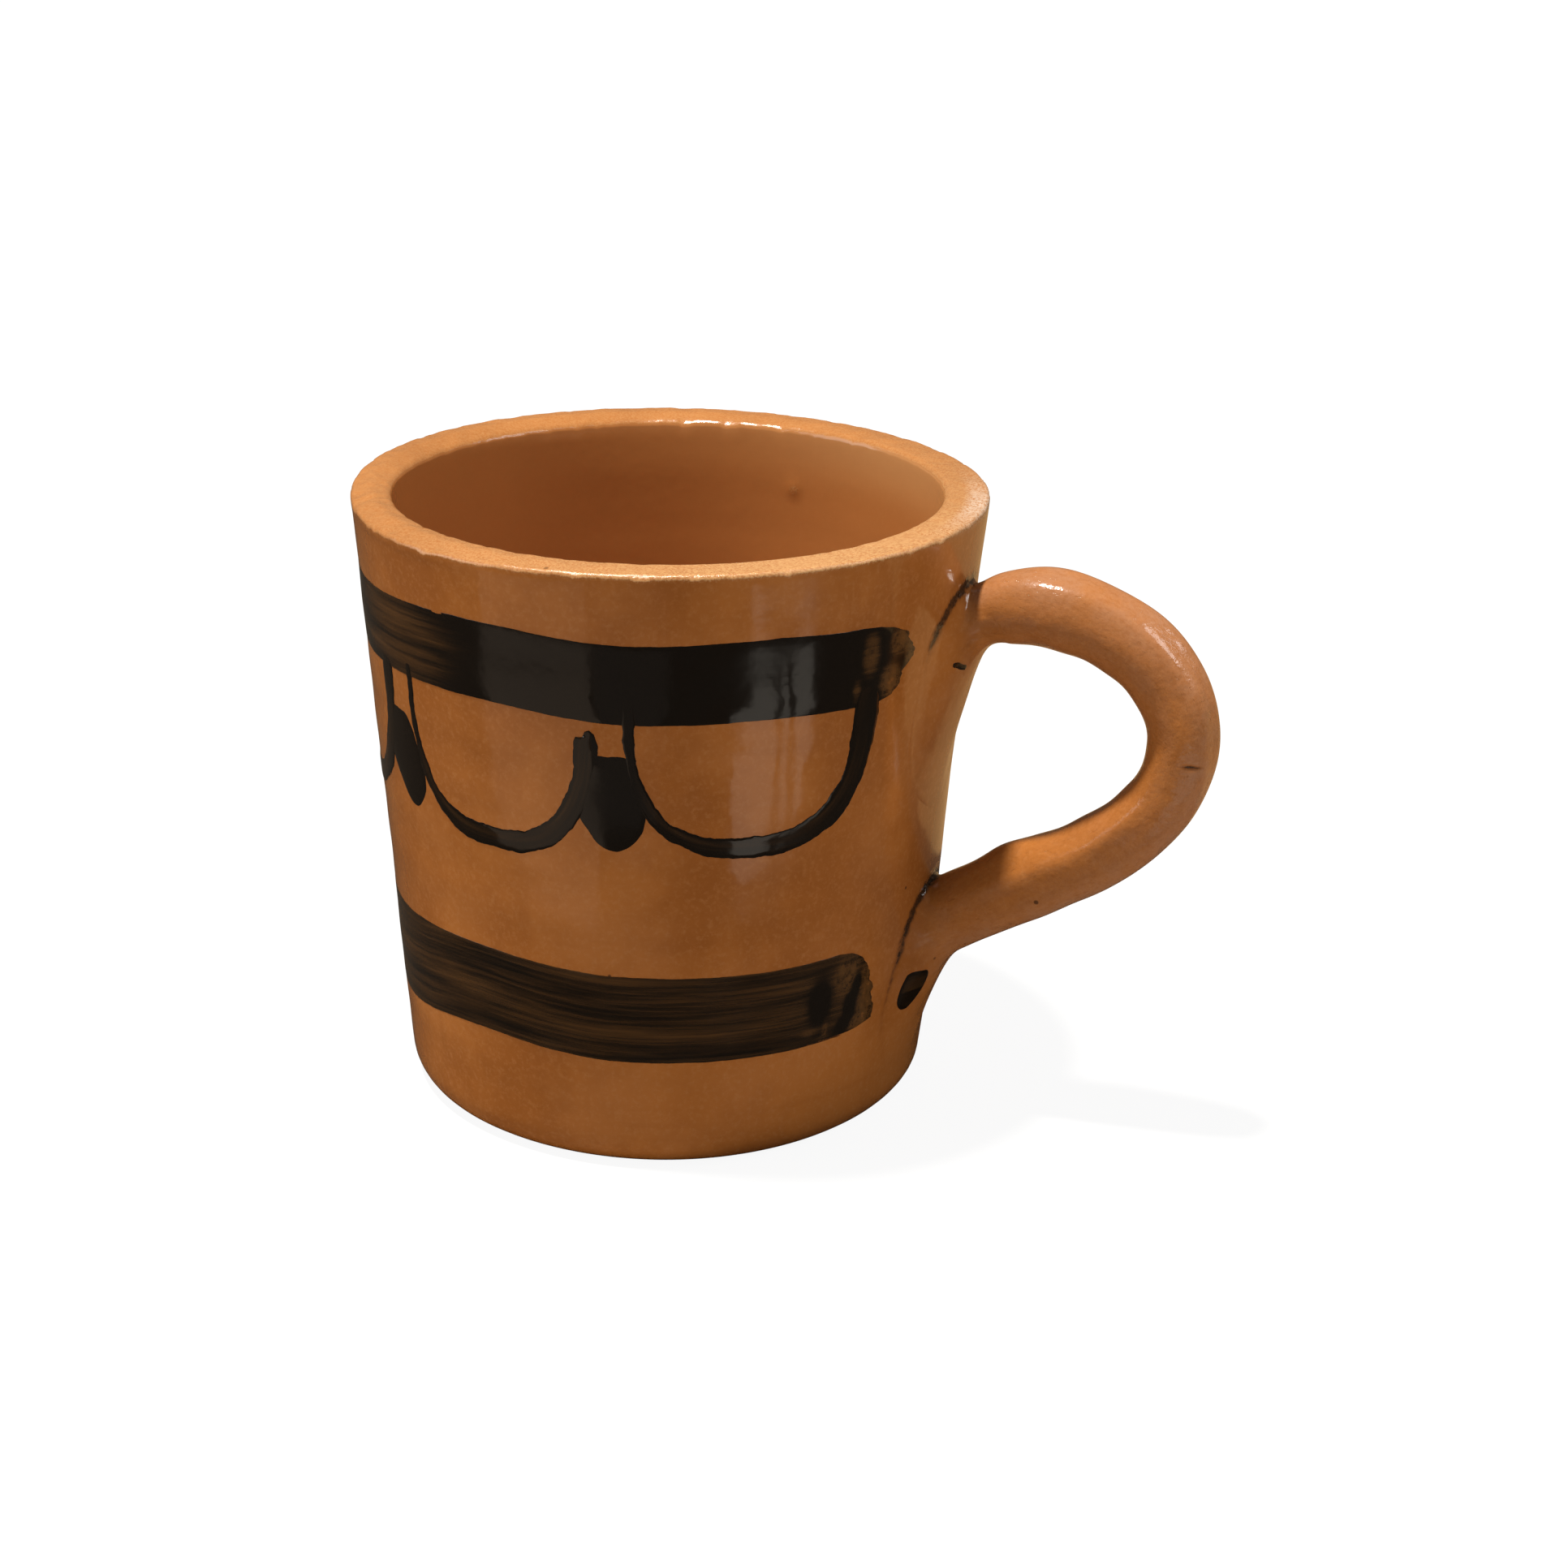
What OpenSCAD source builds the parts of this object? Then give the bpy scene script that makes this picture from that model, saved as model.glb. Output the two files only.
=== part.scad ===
// Hand-thrown earthenware mug with a rolled-coil handle and brushed slip decoration
// Millimetres, +Z up, the origin at the centre of the foot, the handle along +X

/* [Thrown body] */
// Outer diameter across the rim
rim_d = 90; // [84:0.5:100]
// Height from the foot to the top of the rim
body_h = 89.3; // [82:0.1:105]
// Outer diameter of the foot, where the wall's line meets the ground
foot_d = 76.6; // [68:0.2:82]
// Thickness of the wall, measured level
wall_t = 5.6; // [4.5:0.1:9]
// Thickness of the floor
floor_t = 7; // [4:0.5:12]
// Rounding of the foot's edge
foot_round = 4.2; // [1:0.1:6]
// Rounding of the rim's outer edge
lip_round = 2.2; // [0.5:0.1:2.4]
// Rounding of the rim's inner edge
mouth_round = 1.6; // [0.5:0.1:2]
// Rounding of the corner between the wall and the floor, inside
well_round = 7; // [2:0.5:12]

/* [Handle coil] */
// Diameter of the rolled coil
coil_d = 10.4; // [8:0.1:12]
// Depth of the upper end's middle below the rim
upper_end_drop = 13.8; // [11:0.1:18]
// Height of the lower end's middle above the foot
lower_end_rise = 27.2; // [22:0.1:32]
// Straight length of the upper arm, out from the wall
upper_arm = 11.6; // [8:0.1:16]
// Upward slope of the upper arm, in degrees
upper_slope = 8; // [0:1:20]
// Slope of the lower arm, down toward the wall, in degrees
lower_slope = 33; // [20:1:40]

/* [Handle roots] */
// How far the clay smoothed round each root stands off the wall
root_rise = 2.6; // [1.5:0.1:3.5]
// Radius of that clay's crown
root_crown = 20; // [15:0.5:26]
// How far the middle of that clay lies below the end of the coil
root_sag = 5.3; // [3:0.1:7]

/* [Slip bands] */
// Thickness of a brushed stroke of slip
slip_t = 0.25; // [0.1:0.05:0.5]
// Opening of both bands at the handle, in degrees
band_gap = 50; // [44:1:70]
// Distance from the rim down to the upper band
upper_band_drop = 9.4; // [6:0.1:14]
// Width of the upper band
upper_band_w = 11.3; // [6:0.1:14]
// Distance from the foot up to the lower band
lower_band_rise = 17.5; // [12:0.1:20]
// Width of the lower band
lower_band_w = 13.5; // [6:0.1:16]

/* [Slip festoon] */
// Number of swags
swag_count = 6; // [4:1:8]
// Plain part of the wall at the handle, without swags, in degrees
festoon_gap = 61; // [50:1:90]
// Turn of the whole festoon about the mug, in degrees
festoon_turn = 2; // [-5:0.5:5]
// Space between neighbouring swags where they leave the band, in degrees
swag_space = 4.5; // [3:0.5:8]
// Depth of a swag below the upper band
swag_h = 20; // [15:0.5:22]
// Mean thickness of a swag's two arms
swag_arm = 2.6; // [2:0.1:4]
// Half of the difference in thickness between a swag's two arms
swag_lean = 1.4; // [0:0.1:1.6]
// Thickness of a swag at its lowest point
swag_belly = 3.2; // [2:0.1:5]
// Squareness of a swag's loop, where 2 is a half ellipse
swag_square = 2.4; // [2:0.1:3]
// Width of the drop brushed between two swags
drop_w = 10; // [6:0.5:12]
// Height of a drop
drop_h = 14.4; // [8:0.2:16]
// Distance from the upper band down to a drop
drop_gap = 4.6; // [3:0.2:8]

/* [Slip marks on the handle roots] */
// Length of the dab on the lower root
dab_l = 8; // [5:0.5:10]
// Width of the dab
dab_w = 4; // [2:0.5:6]
// Length of the fleck under the upper arm
fleck_l = 3.9; // [2:0.1:5]
// Width of the fleck
fleck_w = 1; // [0.5:0.1:2]

/* [Hidden] */
$fn = 120;
// Steps along a rounded corner, and degrees from point to point round a brushed outline
arc_steps = 8;
outline_step = 10;

clay = "#a8622d";
coil_clay = "#b06a34";
slip = "#1d1611";

rim_r = rim_d / 2;
foot_r = foot_d / 2;
function wall_r(z) = foot_r + (rim_r - foot_r) * z / body_h;

// Heights of the strokes' edges
upper_band_top = body_h - upper_band_drop;
upper_band_foot = upper_band_top - upper_band_w;
lower_band_top = lower_band_rise + lower_band_w;

// Middles of the coil's ends, where they meet the wall
upper_end_z = body_h - upper_end_drop;
upper_end_x = wall_r(upper_end_z);
lower_end_x = wall_r(lower_end_rise);
// The bend between the arms has the one radius at which both arms reach the wall
bend_fall = upper_end_z + upper_arm * sin(upper_slope) - lower_end_rise;
bend_run = upper_end_x + upper_arm * cos(upper_slope) - lower_end_x;
bend_r = (bend_fall - bend_run * tan(lower_slope))
  / (cos(upper_slope) + cos(lower_slope) + tan(lower_slope) * (sin(upper_slope) + sin(lower_slope)));
bend_x = upper_end_x + upper_arm * cos(upper_slope) + bend_r * sin(upper_slope);
bend_z = upper_end_z + upper_arm * sin(upper_slope) - bend_r * cos(upper_slope);
lower_arm = (bend_run + bend_r * (sin(upper_slope) + sin(lower_slope))) / cos(lower_slope);
// The arms are carried this far into the wall, which trims them
end_bury = coil_d;
// The arms are this much thinner all round than the bend, and run this far inside it
arm_step = 0.05;
arm_tuck = 0.4;

// Places of the marks on their roots: turn toward -Y, turn down and tilt, in degrees
dab_place = [18, 6, 23];
fleck_place = [15, 2, -28];

// Shares of the festoon's circle
swag_pitch = (360 - festoon_gap) / swag_count;
swag_half = wall_r(upper_band_foot) * sin((swag_pitch - swag_space) / 2);
function swag_turn(i) = festoon_turn - 180 - (i - (swag_count + 1) / 2) * swag_pitch;

function unit(v) = v / norm(v);

// A corner b = [x, z, radius] between its neighbours a and c, as points along the arc that rounds it
function corner_arc(a, b, c) =
  let (
    back = unit([a.x - b.x, a.y - b.y]),
    ahead = unit([c.x - b.x, c.y - b.y]),
    half = acos(back * ahead) / 2,
    centre = [b.x, b.y] + unit(back + ahead) * b.z / sin(half),
    start = [b.x, b.y] + back * b.z / tan(half) - centre,
    sweep = -sign(cross(back, ahead)) * (180 - 2 * half)
  )
  [
    for (k = [0:arc_steps])
      let (t = atan2(start.y, start.x) + sweep * k / arc_steps)
        centre + b.z * [cos(t), sin(t)]
  ];

// The points of an outline of corners [x, z, radius], where a corner of radius 0 stays sharp
function rounded(p) = [
  for (i = [0:len(p) - 1])
    each p[i].z == 0
      ? [[p[i].x, p[i].y]]
      : corner_arc(p[i - 1], p[i], p[i + 1])
];

// The cone that the wall's outside lies on, filled and carried past both ends, to trim what is set against it
module wall_form() {
  translate([0, 0, -root_crown])
    cylinder(r1 = wall_r(-root_crown), r2 = wall_r(body_h + root_crown), h = body_h + 2 * root_crown);
}

module thrown_body() {
  color(clay)
    rotate_extrude()
      polygon(rounded([
        [0, 0, 0],
        [foot_r, 0, foot_round],
        [rim_r, body_h, lip_round],
        [rim_r - wall_t, body_h, mouth_round],
        [wall_r(floor_t) - wall_t, floor_t, well_round],
        [0, floor_t, 0]
      ]));
}

// One straight arm of the coil, from inside the wall at [x, z] to a little way inside the bend
module coil_arm(x, z, slope, length) {
  translate([x, 0, z])
    rotate([0, 90 - slope, 0])
      translate([0, 0, -end_bury])
        cylinder(d = coil_d - 2 * arm_step, h = end_bury + length + arm_tuck);
}

// The whole run of the coil, with both ends carried into the wall
module coil_run() {
  union() {
    translate([bend_x, 0, bend_z])
      rotate([90, 0, 0])
        rotate(lower_slope - 90)
          rotate_extrude(angle = 180 + upper_slope - lower_slope)
            translate([bend_r, 0])
              circle(d = coil_d);
    coil_arm(upper_end_x, upper_end_z, upper_slope, upper_arm);
    coil_arm(lower_end_x, lower_end_rise, lower_slope, lower_arm);
  }
}

module handle_coil() {
  color(coil_clay)
    difference() {
      coil_run();
      wall_form();
    }
}

// Middle of the crown of the clay round the coil's end at height z
module at_root(z) {
  translate([wall_r(z - root_sag) + root_rise - root_crown, 0, z - root_sag])
    children();
}

module root(z) {
  color(coil_clay)
    difference() {
      at_root(z) sphere(root_crown);
      wall_form();
      coil_run();
    }
}

module upper_root() {
  root(upper_end_z);
}

module lower_root() {
  root(lower_end_rise);
}

// A skin of slip over the wall, from height z0 to z1 and through part of a turn
module wall_skin(z0, z1, turn = 360) {
  rotate_extrude(angle = turn)
    polygon([
      [wall_r(z0), z0],
      [wall_r(z0) + slip_t, z0],
      [wall_r(z1) + slip_t, z1],
      [wall_r(z1), z1]
    ]);
}

module band(z0, z1) {
  color(slip)
    rotate(band_gap / 2)
      wall_skin(z0, z1, 360 - band_gap);
}

module upper_band() {
  band(upper_band_foot, upper_band_top);
}

module lower_band() {
  band(lower_band_rise, lower_band_top);
}

// A flat outline carried straight out from the mug's axis, at one turn about it and one height
module brush_out(turn, z) {
  rotate(turn)
    translate([0, 0, z])
      rotate([90, 0, 90])
        linear_extrude(rim_r + root_crown)
          children();
}

// A loop that hangs from the line y = 0: a half superellipse of half width a and depth b
module loop_outline(a, b) {
  power = 2 / swag_square;
  polygon([
    for (t = [180:outline_step:360])
      [a * sign(cos(t)) * pow(abs(cos(t)), power), -b * pow(abs(sin(t)), power)]
  ]);
}

// The field inside a swag's outer edge
module swag_field(i) {
  brush_out(swag_turn(i), upper_band_foot)
    loop_outline(swag_half, swag_h);
}

module swag(i) {
  color(slip)
    difference() {
      intersection() {
        wall_skin(upper_band_foot - swag_h, upper_band_foot);
        swag_field(i);
      }
      brush_out(swag_turn(i), upper_band_foot)
        translate([-swag_lean, 0])
          loop_outline(swag_half - swag_arm, swag_h - swag_belly);
    }
}

// An upright oval of width w and height h
module oval_outline(w, h) {
  polygon([for (t = [0:outline_step:360 - outline_step]) [w / 2 * cos(t), h / 2 * sin(t)]]);
}

module drop(i) {
  top = upper_band_foot - drop_gap;
  color(slip)
    difference() {
      intersection() {
        wall_skin(top - drop_h, top);
        brush_out((swag_turn(i) + swag_turn(i + 1)) / 2, top - drop_h / 2)
          oval_outline(drop_w, drop_h);
      }
      swag_field(i);
      swag_field(i + 1);
    }
}

// An oval mark on the crown of the root at height z
module root_mark(z, place, l, w) {
  color(slip)
    difference() {
      at_root(z)
        intersection() {
          difference() {
            sphere(root_crown + slip_t);
            sphere(root_crown);
          }
          rotate([0, place[1], -place[0]])
            brush_out(0, 0)
              rotate(place[2])
                oval_outline(l, w);
        }
      wall_form();
      coil_run();
    }
}

module handle_dab() {
  root_mark(lower_end_rise, dab_place, dab_l, dab_w);
}

module root_fleck() {
  root_mark(upper_end_z, fleck_place, fleck_l, fleck_w);
}

thrown_body();
handle_coil();
upper_root();
lower_root();
upper_band();
lower_band();
for (i = [1:swag_count]) swag(i);
for (i = [1:swag_count - 1]) drop(i);
handle_dab();
root_fleck();
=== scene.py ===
import math
from functools import cached_property
from types import SimpleNamespace

import bpy
import numpy as np
from bpy.props import FloatProperty, FloatVectorProperty, IntProperty, PointerProperty
from mathutils import Matrix, Vector


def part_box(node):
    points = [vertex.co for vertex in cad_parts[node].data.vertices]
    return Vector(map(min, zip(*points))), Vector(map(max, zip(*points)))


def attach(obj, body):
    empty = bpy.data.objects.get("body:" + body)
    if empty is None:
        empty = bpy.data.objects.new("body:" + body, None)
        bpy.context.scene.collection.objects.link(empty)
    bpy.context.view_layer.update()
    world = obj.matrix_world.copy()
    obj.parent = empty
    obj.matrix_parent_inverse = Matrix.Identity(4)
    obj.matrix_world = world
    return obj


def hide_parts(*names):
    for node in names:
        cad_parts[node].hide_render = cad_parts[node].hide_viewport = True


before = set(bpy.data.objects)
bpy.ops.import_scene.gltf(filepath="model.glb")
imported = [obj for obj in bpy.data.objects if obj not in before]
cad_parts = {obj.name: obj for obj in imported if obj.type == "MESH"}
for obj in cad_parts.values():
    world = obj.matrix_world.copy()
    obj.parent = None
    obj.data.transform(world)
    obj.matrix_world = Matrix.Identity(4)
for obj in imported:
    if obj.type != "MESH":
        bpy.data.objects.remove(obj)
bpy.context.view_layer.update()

bl_info = {
    "name": "Slip-painted mug",
    "version": (1, 0, 0),
    "blender": (4, 5, 0),
    "location": "3D View > Sidebar > Mug",
    "description": "Dresses a thrown mug with glaze, a rolled-coil handle, luted roots and brushed slip",
    "category": "Object",
}

MM = 0.001
BODY = "root"

# Points round the body, the coil and a root
BODY_TURNS = 384
COIL_TURNS = 72
ROOT_TURNS = 180
# Grids of the strokes: rows across by columns along, or rings by directions
BAND_GRID = (46, 762)
SWAG_GRID = (17, 222)
DROP_GRID = (16, 96)
SPOT_GRID = (10, 72)

# How near a stroke's last row and column of points lie to its edge and its end, as shares of half its span
EDGE_GAP = 0.004
END_GAP = 0.0002

# How far the edge of a stroke, a drop and a root mark stands off what is under it, and how deep their
# undersides are sunk into it, in millimetres
STROKE_LIFT = 0.03
DROP_LIFT = 0.014
SPOT_LIFT = 0.05
SUNK = 0.25
SPOT_SUNK = 0.3
# Thickness of the slip in swags and in blots, as shares of that in bands
SWAG_SLIP = 1.25
BLOT_SLIP = 1.5

# Radius at which a turn is taken as a length along the rim or a band, in millimetres
RIM_RADIUS = 45
BAND_RADIUS = 44
# The least cover of a band, where the brush ran driest
LEAST_COVER = 0.22

# The coil's radius in its own coordinates, which its material reads
COIL_LIE = 5.2 * MM

# The handle is at turn 0, and a turn toward the viewer's side is negative
VIEW_TURN = 18.0
# Middle of the mug, which the lamps aim at, and their distance from it, in metres
LAMP_AIM = (0, 0, 0.045)
SUN_DISTANCE = 1.0
BOX_DISTANCE = 0.9
FLOOR_HALF = 4.0
CARD_HEIGHT = 0.3 * MM
WARM_WHITE = (1.0, 0.95, 0.88)
WHITE = (1.0, 1.0, 1.0, 1.0)

# The coil's middle line from the upper root to the lower one: out from the axis, up, radius, in millimetres
COIL_ROUTE = (
    (40.0, 74.8, 4.0), (46.0, 75.5, 3.9), (50.0, 76.6, 4.9), (54.0, 77.2, 5.35), (63.3, 75.6, 5.35),
    (71.3, 70.5, 5.2), (75.6, 61.4, 4.9), (73.5, 51.9, 4.85), (67.0, 44.4, 5.15), (58.1, 38.4, 5.4),
    (49.0, 33.0, 5.4), (37.0, 25.4, 5.4),
)

# The clay luted round each root, by direction about the coil: degrees from straight up, where the viewer's
# side is negative, then in millimetres its reach along the wall, fullness where it leaves the wall and climb
# along the coil, and how dark the crease at its edge is, as pooled glaze with painted shade round it, from 0
# to 1
UPPER_ROOT = (
    (-180, 28.0, 2.7, 6.6, 0.0), (-150, 24.0, 2.6, 6.6, 0.0), (-122, 14.5, 2.2, 6.2, 0.0),
    (-101, 12.0, 1.8, 6.0, 0.45), (-90, 10.5, 1.5, 6.0, 1.0), (-74, 8.4, 1.2, 4.6, 1.0),
    (-45, 5.8, 0.8, 2.6, 1.0), (0, 4.6, 0.5, 1.6, 0.8), (45, 5.8, 0.8, 2.8, 0.6),
    (90, 9.5, 1.2, 5.0, 0.4), (135, 17.0, 2.6, 6.5, 0.0), (180, 28.0, 2.7, 6.6, 0.0),
)
LOWER_ROOT = (
    (-180, 22.0, 3.1, 6.2, 0.0), (-150, 21.0, 2.9, 6.0, 0.1), (-128, 16.0, 2.6, 5.2, 0.3),
    (-115, 12.4, 2.0, 6.0, 0.5), (-98, 9.8, 1.6, 5.0, 0.7), (-70, 8.6, 1.2, 4.0, 0.9),
    (-38, 7.8, 0.8, 3.0, 0.9), (0, 6.7, 0.5, 1.8, 0.9), (45, 7.9, 0.8, 3.0, 0.7),
    (90, 9.5, 1.5, 5.0, 0.6), (128, 14.5, 2.8, 5.2, 0.2), (180, 22.0, 3.1, 6.2, 0.0),
)

# Each swag: middle turn and half width in degrees, then in millimetres its depth, thin arm, belly, thick arm,
# how far its thin and thick arms run up past the band's lower edge, and how far the thick one leans right
# there
SWAGS = (
    (-54.1, 22.2, 18.4, 1.4, 3.1, 4.4, 4.5, 2.6, 1.2),
    (-103.9, 20.1, 19.6, 1.2, 3.1, 3.3, 2.5, -2.0, -0.4),
    (-153.6, 20.6, 20.0, 1.3, 3.2, 3.2, 2.0, 1.5, 0.3),
    (-203.0, 20.9, 19.2, 1.5, 3.0, 3.6, 2.5, 1.0, 0.0),
    (-252.6, 20.5, 19.0, 1.3, 3.3, 3.4, 2.0, 1.5, 0.4),
    (-302.2, 21.0, 18.6, 1.4, 3.0, 3.8, 2.5, 2.0, 0.6),
)
# Each drop: turn and height of its middle, its width and height as shares of the outline below, and its lean
# to the right at its foot in degrees of turn
DROPS = (
    (-80.0, 57.0, 1.0, 1.0, 0.0),
    (-128.6, 56.2, 0.96, 0.99, 3.0),
    (-178.2, 56.6, 0.95, 0.97, 1.0),
    (-227.8, 57.1, 0.98, 0.95, -0.8),
    (-277.4, 56.8, 0.94, 1.0, 1.2),
)
# A drop's outline from its top, clockwise as the viewer sees it, in millimetres right of and above its middle
DROP_OUTLINE = (
    (0.4, 6.7), (2.4, 6.5), (3.5, 5.0), (4.2, 2.8), (4.8, 0.3), (4.9, -1.9), (4.4, -4.0), (3.0, -6.0),
    (0.8, -7.2), (-1.2, -6.4), (-2.8, -4.5), (-4.1, -2.5), (-4.8, -0.4), (-5.0, 2.3), (-4.5, 5.0),
    (-2.6, 6.4),
)

# Outlines of the dab on the lower root and the fleck on the upper one, in the same way
DAB_OUTLINE = (
    (-1.2, 2.8), (0.4, 2.9), (1.6, 2.5), (1.9, 1.7), (1.7, 0.3), (1.1, -1.1), (0.2, -2.2), (-0.9, -3.0),
    (-2.1, -2.8), (-2.8, -1.9), (-2.7, 0.2), (-2.0, 1.8),
)
FLECK_OUTLINE = (
    (-1.3, 0.6), (-0.7, 0.65), (0.5, 0.05), (1.3, -0.4), (1.25, -0.75), (0.4, -0.7), (-0.7, -0.15),
    (-1.35, 0.2),
)
# Where each lies: millimetres round from the handle's plane, and height
DAB_PLACE = (-6.7, 19.9)
FLECK_PLACE = (-5.5, 69.4)

# The edges of each band round the mug: turn, lower edge and upper edge in millimetres
UPPER_BAND = (
    (-345, 68.6, 79.6), (-250, 68.4, 79.9), (-190, 68.9, 79.4), (-144, 68.3, 79.1), (-102, 69.1, 80.2),
    (-78, 68.3, 79.4), (-51, 68.7, 80.0), (-34, 68.4, 79.5), (-15, 68.4, 79.4),
)
LOWER_BAND = (
    (-345, 17.6, 31.0), (-250, 18.0, 30.6), (-190, 16.6, 31.2), (-145, 15.2, 30.2), (-108, 18.2, 31.5),
    (-79, 17.3, 30.7), (-50, 17.4, 30.7), (-34, 17.5, 30.8), (-15, 17.5, 30.6),
)
# The right end of each band: share of its width from its lower edge, and turn
UPPER_END = (
    (0.0, -29.0), (0.05, -25.6), (0.17, -24.2), (0.33, -23.3), (0.43, -21.7), (0.55, -20.0), (0.67, -21.8),
    (0.83, -23.5), (0.93, -26.7), (0.98, -30.0), (1.0, -34.0),
)
LOWER_END = (
    (0.0, -32.0), (0.03, -25.6), (0.07, -22.6), (0.24, -22.1), (0.42, -22.8), (0.79, -25.1), (0.92, -27.7),
    (0.98, -30.5), (1.0, -33.0),
)
# The left end of both bands, behind the handle
FAR_END = ((0.0, -328.0), (0.1, -332.0), (0.5, -334.5), (0.8, -332.5), (1.0, -327.0))
# Where the brush ran dry, or where it lapped over itself if the last number is negative, and in the upper
# band one wide spot at the front left that lowers its cover and makes it browner: turn, height, half width in
# degrees, half height in millimetres, dryness
UPPER_DRY = (
    (-24.6, 76.4, 2.6, 2.0, 0.70), (-26.6, 70.9, 2.6, 2.6, 0.70), (-31.8, 75.6, 2.0, 3.2, 0.44),
    (-21.6, 74.0, 1.5, 1.8, 0.58), (-34.6, 70.6, 1.0, 1.8, 0.34), (-128.0, 74.0, 17.0, 9.0, 0.33),
    (-331.0, 74.0, 3.0, 3.0, 0.60),
)
LOWER_DRY = (
    (-30.5, 27.2, 3.2, 3.0, 0.38), (-24.6, 22.4, 2.2, 5.0, 0.50), (-26.8, 18.2, 2.4, 1.5, 0.42),
    (-27.8, 25.2, 1.4, 2.2, -0.45), (-29.4, 21.8, 1.5, 2.4, -0.55), (-31.2, 18.4, 1.6, 1.8, -0.50),
    (-37.2, 24.0, 2.8, 3.8, -0.32), (-39.2, 19.5, 2.4, 0.5, 0.22), (-35.6, 19.2, 0.7, 1.5, 0.22),
    (-330.0, 24.0, 3.5, 4.0, 0.40),
)

# Cards that lie on the floor round the mug, seen only in its glaze: colour, and an outline in millimetres
PALE_CARD = (0.92, 0.83, 0.71)
CARDS = (
    ((0.42, 0.33, 0.25), (
        (-160, -160), (-130, -125), (-80, -97), (-25, -98), (-5, -95), (-5, -135), (-20, -170), (-25, -225))),
    ((0.14, 0.12, 0.10), ((-22, -225), (-16, -170), (-2, -130), (30, -118), (55, -155), (75, -205))),
    (PALE_CARD, (
        (165, -147), (125, -116), (103, -118), (80, -92), (76, -77), (100, -72), (152, -98), (167, -116))),
    (PALE_CARD, ((171, -111), (156, -94), (104, -68), (107, -63), (160, -88), (176, -103))),
    (PALE_CARD, ((180, -98), (162, -81), (110, -58), (154, -57), (210, -80))),
    ((0.50, 0.30, 0.13), ((-60, 110), (260, 40), (600, 150), (600, 700), (-200, 700))),
)


def a_length(label, note, metres):
    """A length that can be set"""
    return FloatProperty(name=label, description=note, default=metres, unit="LENGTH")


def an_angle(label, note, degrees):
    """An angle that can be set"""
    return FloatProperty(name=label, description=note, default=math.radians(degrees), subtype="ANGLE")


def an_amount(label, note, value):
    """A plain number that can be set"""
    return FloatProperty(name=label, description=note, default=value)


def a_colour(label, note, rgb):
    """A colour that can be set"""
    return FloatVectorProperty(name=label, description=note, default=rgb, subtype="COLOR", min=0, max=1)


class MugSizes(bpy.types.PropertyGroup):
    """Sizes of the mug, as the potter would give them"""

    rim_width: a_length("Rim width", "Across the wall's line at the rim", 0.090)
    foot_width: a_length("Foot width", "Across the wall's line at the foot", 0.0766)
    height: a_length("Height", "From the foot to the top of the rim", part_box("thrown_body")[1].z)
    wall: a_length("Wall", "Thickness of the wall", 0.0056)
    floor: a_length("Floor", "Thickness of the floor", 0.007)
    foot_round: a_length("Foot rounding", "Radius of the foot's edge", 0.0042)
    lip_round: a_length("Lip rounding", "Radius of the rim's outer edge", 0.0006)
    mouth_round: a_length("Mouth rounding", "Radius of the rim's inner edge", 0.0011)
    well_round: a_length("Well rounding", "Radius between wall and floor, inside", 0.007)
    band_foot: a_length("Band foot", "Height of the upper band's lower edge, where the swags hang", 0.0686)
    slip: a_length("Slip", "How far brushed slip stands off the wall", 0.00005)
    seed: IntProperty(
        name="Hand", description="Seed of the small unevenness that the hand leaves", default=7)


class MugColours(bpy.types.PropertyGroup):
    """Colours of the fired clay and the slip, under the glaze, and a painted sheen on the handle"""

    clay_deep: a_colour("Deep clay", "Darker patches of the glazed clay", (0.245, 0.079, 0.015))
    clay_warm: a_colour("Warm clay", "Lighter patches of the glazed clay", (0.34, 0.122, 0.028))
    clay_grain: a_colour("Grain", "Pale grains in the clay", (0.46, 0.22, 0.085))
    rim: a_colour("Rim", "The rim, where the glaze lies thin over the sandy clay", (0.475, 0.262, 0.108))
    worn: a_colour("Worn rim", "Where the glaze is worn off the rim", (0.43, 0.335, 0.26))
    coil: a_colour("Coil", "Lighter patches of the handle's clay", (0.325, 0.122, 0.038))
    # Painted sheen: a paler colour on the handle's outer side that stands for the broad highlight of its
    # glaze
    painted_sheen: a_colour("Bloom", "Pale bloom on the handle's outer side", (0.32, 0.175, 0.108))
    # Paler than the clay outside, as painted light on the inner wall
    inside: a_colour("Inside", "The glazed clay inside the mug", (0.425, 0.163, 0.047))
    speck: a_colour("Speck", "Dark iron specks", (0.035, 0.013, 0.005))
    # Pooled glaze in a crease; its darkness also stands for the shade there, as painted shade
    pool: a_colour("Pooled glaze", "Glaze pooled thick in a crease", (0.030, 0.014, 0.007))
    bare: a_colour("Bare clay", "Unglazed clay under the foot", (0.52, 0.235, 0.105))
    slip: a_colour("Slip", "Dark slip where the brush was full", (0.0055, 0.0036, 0.0024))
    thin_slip: a_colour("Thin slip", "Slip where the brush ran dry", (0.082, 0.037, 0.011))


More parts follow.
